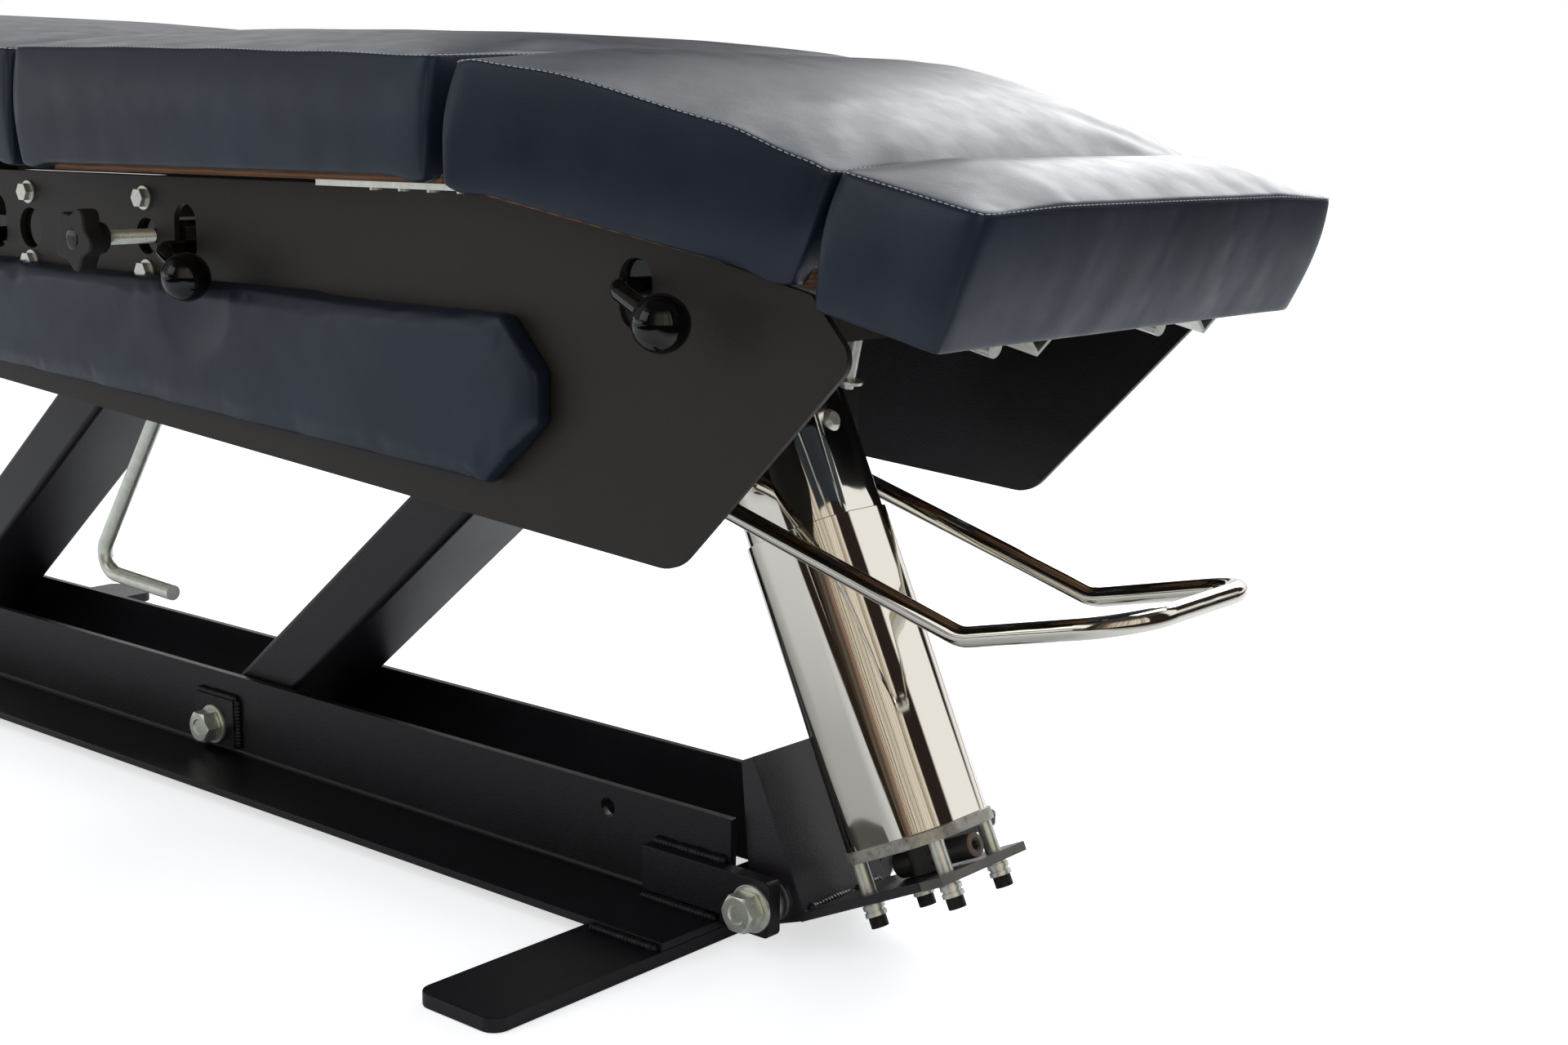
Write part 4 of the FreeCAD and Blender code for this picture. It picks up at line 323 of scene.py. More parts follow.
rail_coat = coated_steel("black_powder_coat", "#0b090e", "#131017", 0.36, 0.42)
frame_coat = coated_steel("warm_black_powder_coat", "#211d18", "#2b2620", 0.5, 0.4)
zinc = zinc_plate()
sleeve_chrome = chrome_plate("polished_chrome_sleeve", 0.03, 0.04)
bar_chrome = chrome_plate("polished_chrome_bar", 0.05, 0.05)
bare_steel = sawn_steel()
dark_steel = coated_steel("oiled_strap_steel", "#34302d", "#6d6760", 0.36, 0.7)
blackened = black_oxide()
oily_casting = coated_steel("oily_cast_steel", "#2a2826", "#474440", 0.38, 0.5)
rusty_plug = coated_steel("rusty_plug", "#3a2a22", "#7a6556", 0.5, 0.5)
bracket_coat = coated_steel("worn_grey_black_coat", "#131015", "#231f27", 0.3, 0.6)
vinyl = upholstery_vinyl("navy_vinyl", "#151c29", "#1b2435", 0.4)
wood = plywood()
gloss_black = moulded_plastic("polished_phenolic", "#060606", 0.05, 0.0)
matt_black = moulded_plastic("sparked_nylon", "#1d1b19", 0.52, 0.3)
rubber = moulded_plastic("black_rubber", "#111111", 0.75, 0.3)
brass_insert = brass()
thread = polyester_thread()


# Every CAD node gets its finish; the pieces below stand for some of them

finishes = {
    rail_coat: [
        "rail_near", "rail_far", "foot_bars", "column_lugs", "arm_pads", "lift_arm_foot", "lift_arm_head",
    ],
    frame_coat: ["side_plate_near", "side_plate_far", "cross_beams", "pivot_plates", "head_cradle"],
    # The inner plates are black-painted steel; their near-black polish is painted shade seen through the port
    # in the side plate
    gloss_black: ["inner_plates"],
    zinc: [
        "pivot_bolts", "pivot_nuts", "pivot_washers", "frame_pins", "plate_bolts", "head_rods",
        "spacer_tubes", "cap_screw", "knob_stud", "bent_handle", "board_strips", "guide_rod", "slide_tubes",
        "slide_rods", "vee_clips", "spring_washers", "pelvic_lever", "leg_lever", "thoracic_lever",
    ],
    bare_steel: ["end_plate", "barrel"],
    dark_steel: ["strap"],
    blackened: ["column_screws", "pump_block"],
    bar_chrome: ["pedal_bar", "ram"],
    sleeve_chrome: ["outer_sleeve", "inner_sleeve", "sleeve_cap"],
    matt_black: ["star_knob"],
    rubber: ["bumpers"],
    vinyl: [
        "pelvic_cushion", "leg_cushion", "ankle_cushion", "thoracic_cushion", "face_cushions",
        "side_pad_near", "side_pad_far",
    ],
    wood: ["pelvic_board", "leg_board", "ankle_board", "thoracic_board", "head_boards"],
    bracket_coat: ["column_bracket"],
}
for finish, names in finishes.items():
    for name in names:
        mesh = nodes[name].data
        mesh.materials.clear()
        mesh.materials.append(finish)


# Upholstery


def spaced(length, cell, edge=(0.0, 0.0026, 0.0065, 0.013)):
    """Places along a side, closer together towards both of its ends."""
    inner = length - 2 * edge[-1]
    count = max(1, round(inner / cell))
    middle = [edge[-1] + inner * i / count for i in range(1, count)]
    return list(edge) + middle + [length - e for e in reversed(edge)]


def along_table(table, share):
    """A value read between the entries of (share, value) pairs, easing from each to the next."""
    for (s0, v0), (s1, v1) in zip(table, table[1:]):
        if share <= s1:
            t = (share - s0) / (s1 - s0)
            t = t * t * (3 - 2 * t)
            return v0 + (v1 - v0) * t
    return table[-1][1]


class Cushion:
    """The sizes of one upholstered block in its own axes: X from its head end, Z up from its board.

    Heights run along it, lean tips its two ends, crown is the swell of its top, hem and ear are how far
    its lower edge and the folds at its corners hang down.
    """

    side_belly, side_tuck = 3 * mm, 2.5 * mm
    end_belly, end_tuck, end_pull = 2.4 * mm, 2 * mm, 0.5 * mm
    end_depth = 30 * mm  # from each end, as far as its belly and tuck reach
    crown_slope = 35 * mm  # from each end, as far as the top falls away
    fold_in, fold_across, fold_reach = 13 * mm, 9 * mm, 13 * mm  # from the end, from the side, and its size

    def __init__(self, length, half_head, half_foot, heights, lean=(0.0, 0.0), crown=12 * mm, y=0.0,
                 hem=1.0 * mm, ear=5.5 * mm):
        self.length, self.half_head, self.half_foot = length, half_head, half_foot
        self.heights, self.lean, self.crown = heights, lean, crown
        self.y, self.hem, self.ear = y, hem, ear

    def half(self, share):
        return self.half_head + (self.half_foot - self.half_head) * share

    def height(self, share):
        return along_table(self.heights, share)

    def point(self, x, across, rise):
        """A skin point: x along, across from -1 to 1, rise from 0 at the board to 1 at the seam."""
        share = x / self.length
        height, half = self.height(share), self.half(share)
        to_end, to_side = min(share, 1 - share) * self.length, (1 - abs(across)) * half
        belly = 4 * rise * (1 - rise)
        tuck = (1 - rise) ** 3
        side = half + self.side_belly * belly - self.side_tuck * tuck
        y = across * side
        end = min(1.0, to_end / self.crown_slope)
        swell = min(1.0, (1 - across * across) * 1.6) * (0.35 + 0.65 * math.sin(end * math.pi / 2))
        z = rise * height + (self.crown * swell if rise >= 1 else 0.0) - self.hem * (1 - rise) ** 2
        # The ends swell between the seam and the board, and tuck in under the board's edge
        outward = 1 if share > 0.5 else -1
        reach = max(0.0, 1 - to_end / self.end_depth)
        x += outward * reach * (self.end_belly * belly - self.end_tuck * tuck - self.end_pull)
        # Upright corners are rounded by 10 mm at the seam, and by 5 mm at the square corners of the board
        radius = (10 - 5 * min(1.0, 1.3 * (1 - rise))) * mm
        cx = (self.length - radius) if outward > 0 else radius
        dx, dy = (x - cx) * outward / radius, (abs(y) - (side - radius)) / radius
        if dx > 0 and dy > 0:
            size = math.hypot(dx, dy)
            big = max(dx, dy)
            x = cx + outward * radius * dx / size * big
            y = math.copysign(side - radius + radius * dy / size * big, y)
        # Spare vinyl folded at the corners hangs a little below the board's edge
        from_fold = math.hypot(to_end - self.fold_in, to_side - self.fold_across)
        fold = math.exp(-(from_fold / self.fold_reach) ** 2) * max(0.0, 1 - rise * 3.2)
        z -= self.ear * fold
        lean = self.lean[0] + (self.lean[1] - self.lean[0]) * share
        return Vector((x - lean * z, self.y + y, z))


def block_skin(name, cushion, cell):
    """The closed skin of a cushion as a grid that is finer along its seams."""
    xs = spaced(cushion.length, cell)
    wide = 2 * max(cushion.half_head, cushion.half_foot)
    ys = [2 * y / wide - 1 for y in spaced(wide, cell)]
    tall = cushion.height(0.5)
    rises = [z / tall for z in spaced(tall, cell, (0.0, 0.003, 0.007))]
    nx, ny, nz = len(xs) - 1, len(ys) - 1, len(rises) - 1

    def build(made):
        layer = made.verts.layers.deform.verify()
        grid = {}

        def at(i, j, k):
            key = (i, j, k)
            if key not in grid:
                grid[key] = made.verts.new(cushion.point(xs[i], ys[j], rises[k]))
            return grid[key]

        for i in range(nx):
            for j in range(ny):
                made.faces.new([at(i, j, nz), at(i + 1, j, nz), at(i + 1, j + 1, nz), at(i, j + 1, nz)])
                made.faces.new([at(i, j + 1, 0), at(i + 1, j + 1, 0), at(i + 1, j, 0), at(i, j, 0)])
        for k in range(nz):
            for i in range(nx):
                made.faces.new([at(i, 0, k), at(i + 1, 0, k), at(i + 1, 0, k + 1), at(i, 0, k + 1)])
                made.faces.new([at(i, ny, k + 1), at(i + 1, ny, k + 1), at(i + 1, ny, k), at(i, ny, k)])
            for j in range(ny):
                made.faces.new([at(0, j, k + 1), at(0, j + 1, k + 1), at(0, j + 1, k), at(0, j, k)])
                made.faces.new([at(nx, j, k), at(nx, j + 1, k), at(nx, j + 1, k + 1), at(nx, j, k + 1)])
        for (i, j, k), vert in grid.items():
            on_seam = k == nz and (i in (0, nx) or j in (0, ny))
            if on_seam:
                vert[layer][0] = 1.0
            if on_seam or k == 0:
                vert[layer][1] = 1.0

    skin = from_mesh(name, build)
    skin.vertex_groups.new(name="seam")
    skin.vertex_groups.new(name="held")
    return skin


def press(piece, pressure, cap, slack):
    """Swells a padded skin with cloth, keeps every point within cap of its start, and leaves plain mesh.

    Slack is the share by which the vinyl shrinks before it is drawn over its foam.
    """
    start = [v.co.copy() for v in piece.data.vertices]
    choose(piece)
    cloth = piece.modifiers.new("swell", "CLOTH")
    settings = cloth.settings
    settings.use_pressure = True
    settings.uniform_pressure_force = pressure
    settings.quality = 4
    settings.mass = 0.3
    settings.tension_stiffness = settings.compression_stiffness = 25
    settings.shear_stiffness = 8
    settings.bending_stiffness = 0.6
    settings.shrink_min = slack
    settings.effector_weights.gravity = 0
    settings.vertex_group_mass = "held"
    cloth.collision_settings.use_collision = False
    moments = 20  # until the skin has settled
    cloth.point_cache.frame_start, cloth.point_cache.frame_end = 1, moments
    for moment in range(1, moments + 1):
        bpy.context.scene.frame_set(moment)
    bpy.ops.object.modifier_apply(modifier=cloth.name)
    bpy.context.scene.frame_set(1)
    for vert, first in zip(piece.data.vertices, start):
        step = vert.co - first
        if step.length > cap:
            vert.co = first + step * (cap / step.length)


def seam_path(piece):
    """The seam's points in order round the cushion, with the outward normal at each."""
    group = piece.vertex_groups["seam"].index
    mesh = piece.data
    on_seam = {v.index for v in mesh.vertices if any(g.group == group and g.weight > 0.9 for g in v.groups)}
    near = {}
    for edge in mesh.edges:
        a, b = edge.vertices
        if a in on_seam and b in on_seam:
            near.setdefault(a, []).append(b)
            near.setdefault(b, []).append(a)
    start = min(near)
    path, last, here = [start], None, start
    while True:
        ahead = [n for n in near[here] if n != last]
        if not ahead or ahead[0] == start:
            break
        last, here = here, ahead[0]
        path.append(here)
    return [(mesh.vertices[i].co.copy(), mesh.vertices[i].normal.copy()) for i in path]


def stitch_row(name, path, pitch, length, width, lift):
    """Short tight stitches along a closed path, each a four-sided bead that is thinner at its ends."""
    points = [p for p, _n in path] + [path[0][0]]
    normals = [n for _p, n in path] + [path[0][1]]
    steps = [(b - a).length for a, b in zip(points, points[1:])]
    total = sum(steps)
    count = int(total / pitch)

    def build(made):
        index, walked = 0, 0.0
        for s in range(count):
            want = total * s / count
            while index < len(steps) - 1 and walked + steps[index] < want:
                walked += steps[index]
                index += 1
            t = (want - walked) / steps[index]
            middle = points[index].lerp(points[index + 1], t)
            normal = normals[index].lerp(normals[index + 1], t).normalized()
            way = (points[index + 1] - points[index]).normalized()
            side = normal.cross(way).normalized()
            up = way.cross(side)
            middle += normal * lift
            rows = []
            for share, fat in ((-0.5, 0.35), (-0.25, 1.0), (0.25, 1.0), (0.5, 0.35)):
                row = []
                for q in range(4):
                    angle = math.pi / 4 + q * math.pi / 2
                    out = (side * math.cos(angle) + up * math.sin(angle) * 0.7) * width / 2 * fat
                    sunk = up * width * 0.25 * (1 - fat)
                    row.append(made.verts.new(middle + way * length * share + out - sunk))
                rows.append(row)
            for a, b in zip(rows, rows[1:]):
                for q in range(4):
                    made.faces.new([a[q], a[(q + 1) % 4], b[(q + 1) % 4], b[q]])
            made.faces.new(rows[0][::-1])
            made.faces.new(rows[-1])

    row = from_mesh(name, build)
    smooth(row, 80)
    return row


def upholster(name, node_name, body, cushion, place, cell=9 * mm, slack=0.001, creased=0.3):
    """Makes one cushion of its skin, its seam groove, its pulled wrinkles and its stitches."""
    skin = block_skin(name, cushion, cell)
    mesh = skin.data
    # The seam sinks between the two panels, and slight pulls in the vinyl run down from it
    seam = {v.index for v in mesh.vertices if any(g.group == 0 for g in v.groups)}
    centre = Vector((cushion.length / 2, cushion.y, cushion.height(0.5) / 2))
    for vert in mesh.vertices:
        if vert.index in seam:
            inward = Vector((centre.x - vert.co.x, centre.y - vert.co.y, 0)).normalized()
            vert.co += inward * seam_depth - Vector((0, 0, seam_depth))
    mesh.update()
    press(skin, pressure=4.0, cap=5 * mm, slack=slack)
    tall = cushion.height(0.5)
    # Upright wrinkles about 24 mm apart and deepest at the board, over broad waves of about 80 mm
    for vert in mesh.vertices:
        co = vert.co
        low = min(1.0, max(0.0, 1 - co.z / tall))
        pull = noise.noise(Vector((co.x * 42, co.y * 42, co.z * 8 + 3.7))) * (0.25 + 1.7 * low * low) * mm
        pull += noise.noise(Vector((co.x * 13 + 5, co.y * 13, co.z * 7))) * 0.8 * mm
        flat = abs(vert.normal.z)
        vert.co += vert.normal * pull * (1 - flat) * creased
    mesh.transform(place)
    refine(skin)
    smooth(skin, 60)
    path = seam_path(skin)
    dress(skin, body, "vinyl", vinyl, node_name)
    row = stitch_row(name + "_stitches", path, stitch_pitch, stitch_length, thread_width, stitch_lift)
    dress(row, body, "vinyl", thread)


def tapered(first, last, arch):
    """Heights that go evenly from first to last, and rise between them by a share of the height."""
    shares = (0.0, 0.25, 0.5, 0.75, 1.0)
    return [(s, (first + (last - first) * s) * (1 + arch * 4 * s * (1 - s))) for s in shares]


def down_slope(place, length, slope):
    """The (x, z) place that far along a slope in degrees from another, lower if length is positive."""
    x, z = place
    return x + length * math.cos(math.radians(slope)), z - length * math.sin(math.radians(slope))


def on_board(place, slope, shift=0.0):
    """Puts a cushion on a board with its head end at an (x, z) place and its foot end lower by a slope."""
    x, z = place
    sloping = Matrix.Translation((x, 0, z)) @ Matrix.Rotation(math.radians(slope), 4, "Y")
    return sloping @ Matrix.Translation((shift, 0, cushion_rise))


seam_depth = 0.9 * mm
stitch_pitch, stitch_length, stitch_lift = 4.2 * mm, 3.2 * mm, 0.5 * mm
thread_width = 0.75 * mm
cushion_rise = 6 * mm  # from a board's underside to its cushion's lower edge
board_low = 524 * mm  # the underside of the level boards
full_half = 258 * mm  # half the width of the widest cushions
leg_slope, thoracic_slope, head_slope = 12.5, 5.5, 2
thoracic_length = 452 * mm

pelvic_place = (-32 * mm, board_low)
leg_place = (453 * mm, 521.5 * mm)
ankle_place = down_slope(leg_place, 243 * mm, leg_slope)
thoracic_place = down_slope((-40 * mm, board_low), -thoracic_length, thoracic_slope)
head_place = (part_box("face_cushions")[0][0], thoracic_place[1] - 10 * mm)
leg_heights = [(share, 79 * mm * part) for share, part in (
    (0, 0.89), (0.07, 0.94), (0.3, 0.99), (0.7, 0.945), (0.93, 0.845), (1, 0.80),
)]

pelvic = Cushion(463 * mm, full_half, full_half, tapered(83.7 * mm, 71.5 * mm, 0.02), lean=(0.0, -0.13))
leg = Cushion(239 * mm, full_half, 201 * mm, leg_heights, lean=(0.02, -0.2), hem=3.5 * mm)
ankle = Cushion(93 * mm, 202 * mm, 200 * mm, tapered(66 * mm, 66 * mm, 0.0), lean=(-0.03, -0.13),
                hem=14 * mm, ear=0.5 * mm)
thoracic = Cushion(thoracic_length, full_half, full_half, tapered(72 * mm, 82 * mm, 0.0), lean=(0.0, 0.07),
                   crown=9 * mm)
upholster("pelvic_upholstery", "pelvic_cushion", "pelvic_section", pelvic, on_board(pelvic_place, 0))
upholster("leg_upholstery", "leg_cushion", "leg_section", leg, on_board(leg_place, leg_slope, -10 * mm))
upholster("ankle_upholstery", "ankle_cushion", "ankle_section", ankle, on_board(ankle_place, leg_slope),
          cell=7 * mm, slack=-0.0005, creased=0.6)
upholster("thoracic_upholstery", "thoracic_cushion", "thoracic_section", thoracic,
          on_board(thoracic_place, thoracic_slope))
for side_name, side in (("near", -1), ("far", 1)):
    pillow = Cushion(332 * mm, 54 * mm, 54 * mm, tapered(66 * mm, 66 * mm, 0.03), crown=10 * mm,
                     y=86 * mm * side)
    upholster("face_pillow_" + side_name, "face_cushions", "head_section", pillow,
              on_board(head_place, head_slope), cell=8 * mm)


# Steel, zinc and moulded pieces


def flat_faces(piece):
    """Keeps the shading of wide flat faces flat right up to their rounded edges."""
    weigh = piece.modifiers.new("flat_faces", "WEIGHTED_NORMAL")
    weigh.keep_sharp, weigh.weight = True, 80
    apply_modifiers(piece)


def sink_ends(bolts):
    """Bolt ends stop just inside their nuts, flush with the foot of the countersink."""
    for middle, size, _corner in solids_of("pivot_nuts"):
        side = math.copysign(1, middle.y)
        end = abs(middle.y) + size.y / 2 - countersink
        for vert in bolts.data.vertices:
            near = math.hypot(vert.co.x - middle.x, vert.co.z - middle.z) < 10 * mm
            if near and vert.co.y * side > end:
                vert.co.y = end * side


def eased(node_name, name, body, slot, material, width, steps=2):
    """A node's copy with its sharp edges broken, as sawn and deburred stock has them."""
    piece = copy_of(node_name, name)
    if node_name == "pivot_bolts":
        sink_ends(piece)
    bevel = piece.modifiers.new("broken_edges", "BEVEL")
    bevel.width, bevel.segments = width, steps
    bevel.limit_method, bevel.angle_limit = "ANGLE", math.radians(38)
    bevel.use_clamp_overlap = False
    apply_modifiers(piece)
    smooth(piece, 34)
    flat_faces(piece)
    dress(piece, body, slot, material, node_name)


def tube_rows(made, rows, ends=True):
    """Faces between rows of points that run round a piece, and its two ends unless it is a ring."""
    for a, b in zip(rows, rows[1:]):
        for q in range(len(a)):
            made.faces.new([a[q], a[(q + 1) % len(a)], b[(q + 1) % len(a)], b[q]])
    if ends:
        made.faces.new(rows[0][::-1])
        made.faces.new(rows[-1])


def outward(piece):
    """Merges a piece's double points and turns its faces outwards."""
    edit_whole(piece)
    bpy.ops.mesh.remove_doubles(threshold=same_point)
    bpy.ops.mesh.normals_make_consistent(inside=False)
    bpy.ops.object.mode_set(mode="OBJECT")
    return piece


def solids_of(node_name):
    """The middle, size and farthest corner of each separate solid in a node."""
    made = bmesh.new()
    made.from_mesh(nodes[node_name].data)
    bmesh.ops.remove_doubles(made, verts=made.verts, dist=same_point)
    seen, found = set(), []
    for first in made.verts:
        if first in seen:
            continue
        seen.add(first)
        heap, part = [first], []
        while heap:
            vert = heap.pop()
            part.append(vert.co.copy())
            for edge in vert.link_edges:
                other = edge.other_vert(vert)
                if other not in seen:
                    seen.add(other)
                    heap.append(other)
        low = Vector([min(p[i] for p in part) for i in range(3)])
        high = Vector([max(p[i] for p in part) for i in range(3)])
        middle = (low + high) / 2
        corner = max(part, key=lambda p: math.hypot(p.x - middle.x, p.z - middle.z))
        found.append((middle, high - low, corner))
    made.free()
    return found


def square_to(toward):
    """A direction of length 1, and two more that stand square to it and to each other."""
    axis = Vector(toward).normalized()
    side = axis.orthogonal().normalized()
    return axis, side, axis.cross(side)


def circle(made, middle, side, other, radius, count):
    """Evenly spaced new points round a middle."""
    angles = [2 * math.pi * k / count for k in range(count)]
    return [made.verts.new(middle + (side * math.cos(a) + other * math.sin(a)) * radius) for a in angles]


def turned(name, profile, place, toward, ring=False):
    """A lathe-turned piece or ring, as (radius, distance) pairs in millimetres from a place."""
    axis, side, other = square_to(toward)

    def build(made):
        rows = []
        for radius, out in profile:
            middle = Vector(place) + axis * (out * mm)
            rows.append(circle(made, middle, side, other, max(radius * mm, 0.02 * mm), 48))
        tube_rows(made, rows + [rows[0]] if ring else rows, not ring)

    piece = outward(from_mesh(name, build))
    smooth(piece, 30)
    return piece


def chamfered_nuts(name, node_name, bore):
    """Hexagon nuts whose corners are turned off at 30 degrees on both faces, with a countersunk thread."""
    def build(made):
        for middle, size, corner in solids_of(node_name):
            tall = size.y
            corner_out = math.hypot(corner.x - middle.x, corner.z - middle.z)
            turn = math.atan2(corner.z - middle.z, corner.x - middle.x)
            flat = corner_out * math.cos(math.pi / 6)
            seat = flat * 0.95  # the ring that bears on the washer
            rows = [[] for _ in range(8)]
            for k in range(60):
                angle = 2 * math.pi * k / 60
                off = (angle % (math.pi / 3)) - math.pi / 6
                out = flat / math.cos(off)
                drop = (out - seat) * math.tan(math.radians(30))
                ring = [(bore, countersink), (bore + countersink, 0.0), (seat, 0.0), (out, drop)]
                ring += [(r, tall - y) for r, y in reversed(ring)]
                for row, (r, y) in zip(rows, ring):
                    row.append(made.verts.new((
                        middle.x + r * math.cos(angle + turn), middle.y - tall / 2 + y,
                        middle.z + r * math.sin(angle + turn))))
            tube_rows(made, rows + [rows[0]], False)

    piece = outward(from_mesh(name, build))
    smooth(piece, 24)
    return piece


def threaded_stud(name, place, toward, radius, depth, pitch, length):
    """A right-hand thread that really winds round its stud."""
    axis, side, other = square_to(toward)
    sides = 28

    def build(made):
        count = int(length / pitch) * 4
        grid = {}

        def at(i, k):
            if k == sides:
                i, k = i + 4, 0
            if (i, k) not in grid:
                r = radius - (0.0, depth * 0.5, depth, depth * 0.5)[i % 4]
                out = min(max(pitch * (i / 4 + k / sides), 0.0), length)
                a = 2 * math.pi * k / sides
                across = (side * math.cos(a) + other * math.sin(a)) * r
                grid[i, k] = made.verts.new(Vector(place) + axis * out + across)
            return grid[i, k]

        for i in range(count):
            for k in range(sides):
                made.faces.new([at(i, k), at(i, k + 1), at(i + 1, k + 1), at(i + 1, k)])

    piece = outward(from_mesh(name, build))
    smooth(piece, 50)
    return piece


def weld_bead(name, points, width, body, slot, material):
    """A hand-laid weld bead: overlapping ripples about 3 mm apart, uneven in width."""
    step, ripple_pitch = 0.8 * mm, 3.1 * mm

    def build(made):
        rows, walked = [], 0.0
        for a, b in zip(points, points[1:]):
            _way, side, other = square_to(b - a)
            count = int((b - a).length / step)
            for s in range(count + 1):
                walked += step
                middle = a.lerp(b, s / count)
                ripple = 1 + 0.1 * math.sin(walked / ripple_pitch * 2 * math.pi)
                ripple += 0.3 * noise.noise(middle * 120)
                end = min(1.0, 0.35 + min(s, count - s) / 4)
                rows.append(circle(made, middle, side, other, width / 2 * ripple * end, 10))
        tube_rows(made, rows)

    piece = outward(from_mesh(name, build))
    smooth(piece, 70)
    dress(piece, body, slot, material)


def at_mm(*places):
    """Places that are given in millimetres."""
    return [Vector(place) * mm for place in places]


def on_column(x, y, z):
    """A place in the lift column's own axes, X out from its foot pivot and Z along it, in millimetres."""
    foot_x, foot_z = 534, 33
    out = foot_x + x * math.cos(column_lean) - z * math.sin(column_lean)
    return Vector((out, y, foot_z + x * math.sin(column_lean) + z * math.cos(column_lean))) * mm


def ball_lever(node_name, body):
    """A bent zinc shaft with a polished ball on its end."""
    edit_whole(copy_of(node_name, node_name + "_whole"))
    bpy.ops.mesh.separate(type="LOOSE")
    bpy.ops.object.mode_set(mode="OBJECT")
    halves = list(bpy.context.selected_objects)
    halves.sort(key=lambda half: max(half.dimensions))
    ball, shaft = halves[0], halves[-1]
    ball.name, shaft.name = node_name + "_ball", node_name + "_shaft"
    smooth(ball, 50)
    smooth(shaft, 34)
    dress(shaft, body, "zinc", zinc, node_name)
    dress(ball, body, "knob", gloss_black, node_name)


def soft_pad(node_name, name, side):
    """A side pad wrapped in vinyl: a thin foam-covered board whose face and edges swell slightly."""
    soft_from = 8 * mm  # from the pad's back, as far as its board holds the vinyl straight
    dent_reach, dent_in, dent_down = 46 * mm, 3.2 * mm, 2.5 * mm
    piece = copy_of(node_name, name)
    remesh = piece.modifiers.new("even_cells", "REMESH")
    remesh.mode, remesh.voxel_size = "VOXEL", 4.5 * mm
    apply_modifiers(piece)
    back = min(abs(v.co.y) for v in piece.data.vertices)
    held = piece.vertex_groups.new(name="held")
    held.add([v.index for v in piece.data.vertices if abs(v.co.y) < back + 4 * mm], 1.0, "REPLACE")
    press(piece, pressure=2.5, cap=2.2 * mm, slack=-0.004)
    # Broad, shallow waves of the vinyl over its foam
    for vert in piece.data.vertices:
        co = vert.co
        pull = noise.noise(Vector((co.x * 11, side * 3.1, co.z * 16))) * 0.8 * mm
        vert.co.y += side * pull * min(1.0, (abs(co.y) - back) / soft_from)
    # Round the foot of its ball lever the pad is pressed in, clear of the turning shaft
    low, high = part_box("pelvic_lever" if side < 0 else "thoracic_lever")
    for vert in piece.data.vertices:
        co = vert.co
        off = math.hypot(co.x - (low[0] + high[0]) / 2, co.z - low[2])
        dent = max(0.0, 1 - (off / dent_reach) ** 2) * min(1.0, (abs(co.y) - back) / soft_from)
        vert.co += Vector((0, -side * dent_in, -dent_down)) * dent
    refine(piece)
    smooth(piece, 75)
    dress(piece, "upper_frame", "vinyl", vinyl, node_name)


countersink = 1.2 * mm  # at both ends of a nut's thread

soft_pad("side_pad_near", "side_pad_near_cover", -1)
soft_pad("side_pad_far", "side_pad_far_cover", 1)
for lever_name in ("pelvic_lever", "leg_lever", "thoracic_lever"):
    ball_lever(lever_name, lever_name + "_turning")

for node_name, name, body, slot, material, width in (
    ("rail_near", "near_base_angle", "base", "rails", rail_coat, 0.9),
    ("rail_far", "far_base_angle", "base", "rails", rail_coat, 0.9),
    ("foot_bars", "flat_foot_bars", "base", "rails", rail_coat, 0.9),
    ("column_lugs", "welded_lugs", "base", "rails", rail_coat, 0.9),
    ("arm_pads", "arm_foot_pads", "base", "rails", rail_coat, 0.6),
    ("lift_arm_foot", "foot_end_arm", "foot_arm", "arms", rail_coat, 0.8),
    ("lift_arm_head", "head_end_arm", "head_arm", "arms", rail_coat, 0.8),
    ("side_plate_near", "near_frame_plate", "upper_frame", "frame", frame_coat, 0.6),
    # The far plate is painted like the near one; the darker rail coat on it is painted shade on its inner
    # face
    ("side_plate_far", "far_frame_plate", "upper_frame", "frame", rail_coat, 0.6),
    ("column_bracket", "column_foot_bracket", "column", "arms", bracket_coat, 0.7),
    ("end_plate", "column_end_plate", "column", "raw_steel", bare_steel, 0.6),
    ("strap", "sawn_strap", "column", "raw_steel", dark_steel, 0.4),
    ("pivot_washers", "flat_washers", "base", "zinc", zinc, 0.4),
    ("pivot_bolts", "pivot_bolt_set", "base", "zinc", zinc, 0.7),
    ("plate_bolts", "flange_bolt_set", "upper_frame", "zinc", zinc, 0.35),
    ("column_screws", "socket_head_screws", "column", "black_fastener", blackened, 0.5),
    ("pump_block", "pump_casting", "column", "black_fastener", oily_casting, 0.5),
    ("cap_screw", "button_head_screw", "column_ram", "zinc", zinc, 0.3),
    ("outer_sleeve", "outer_square_tube", "column", "chrome", sleeve_chrome, 0.5),
    ("inner_sleeve", "inner_square_tube", "column_ram", "chrome", sleeve_chrome, 0.5),
    ("sleeve_cap", "sleeve_end_cap", "column_ram", "chrome", sleeve_chrome, 0.4),
):
    eased(node_name, name, body, slot, material, width * mm)

nuts = chamfered_nuts("hexagon_nuts", "pivot_nuts", bore=6.0 * mm)
dress(nuts, "base", "zinc", zinc, "pivot_nuts")

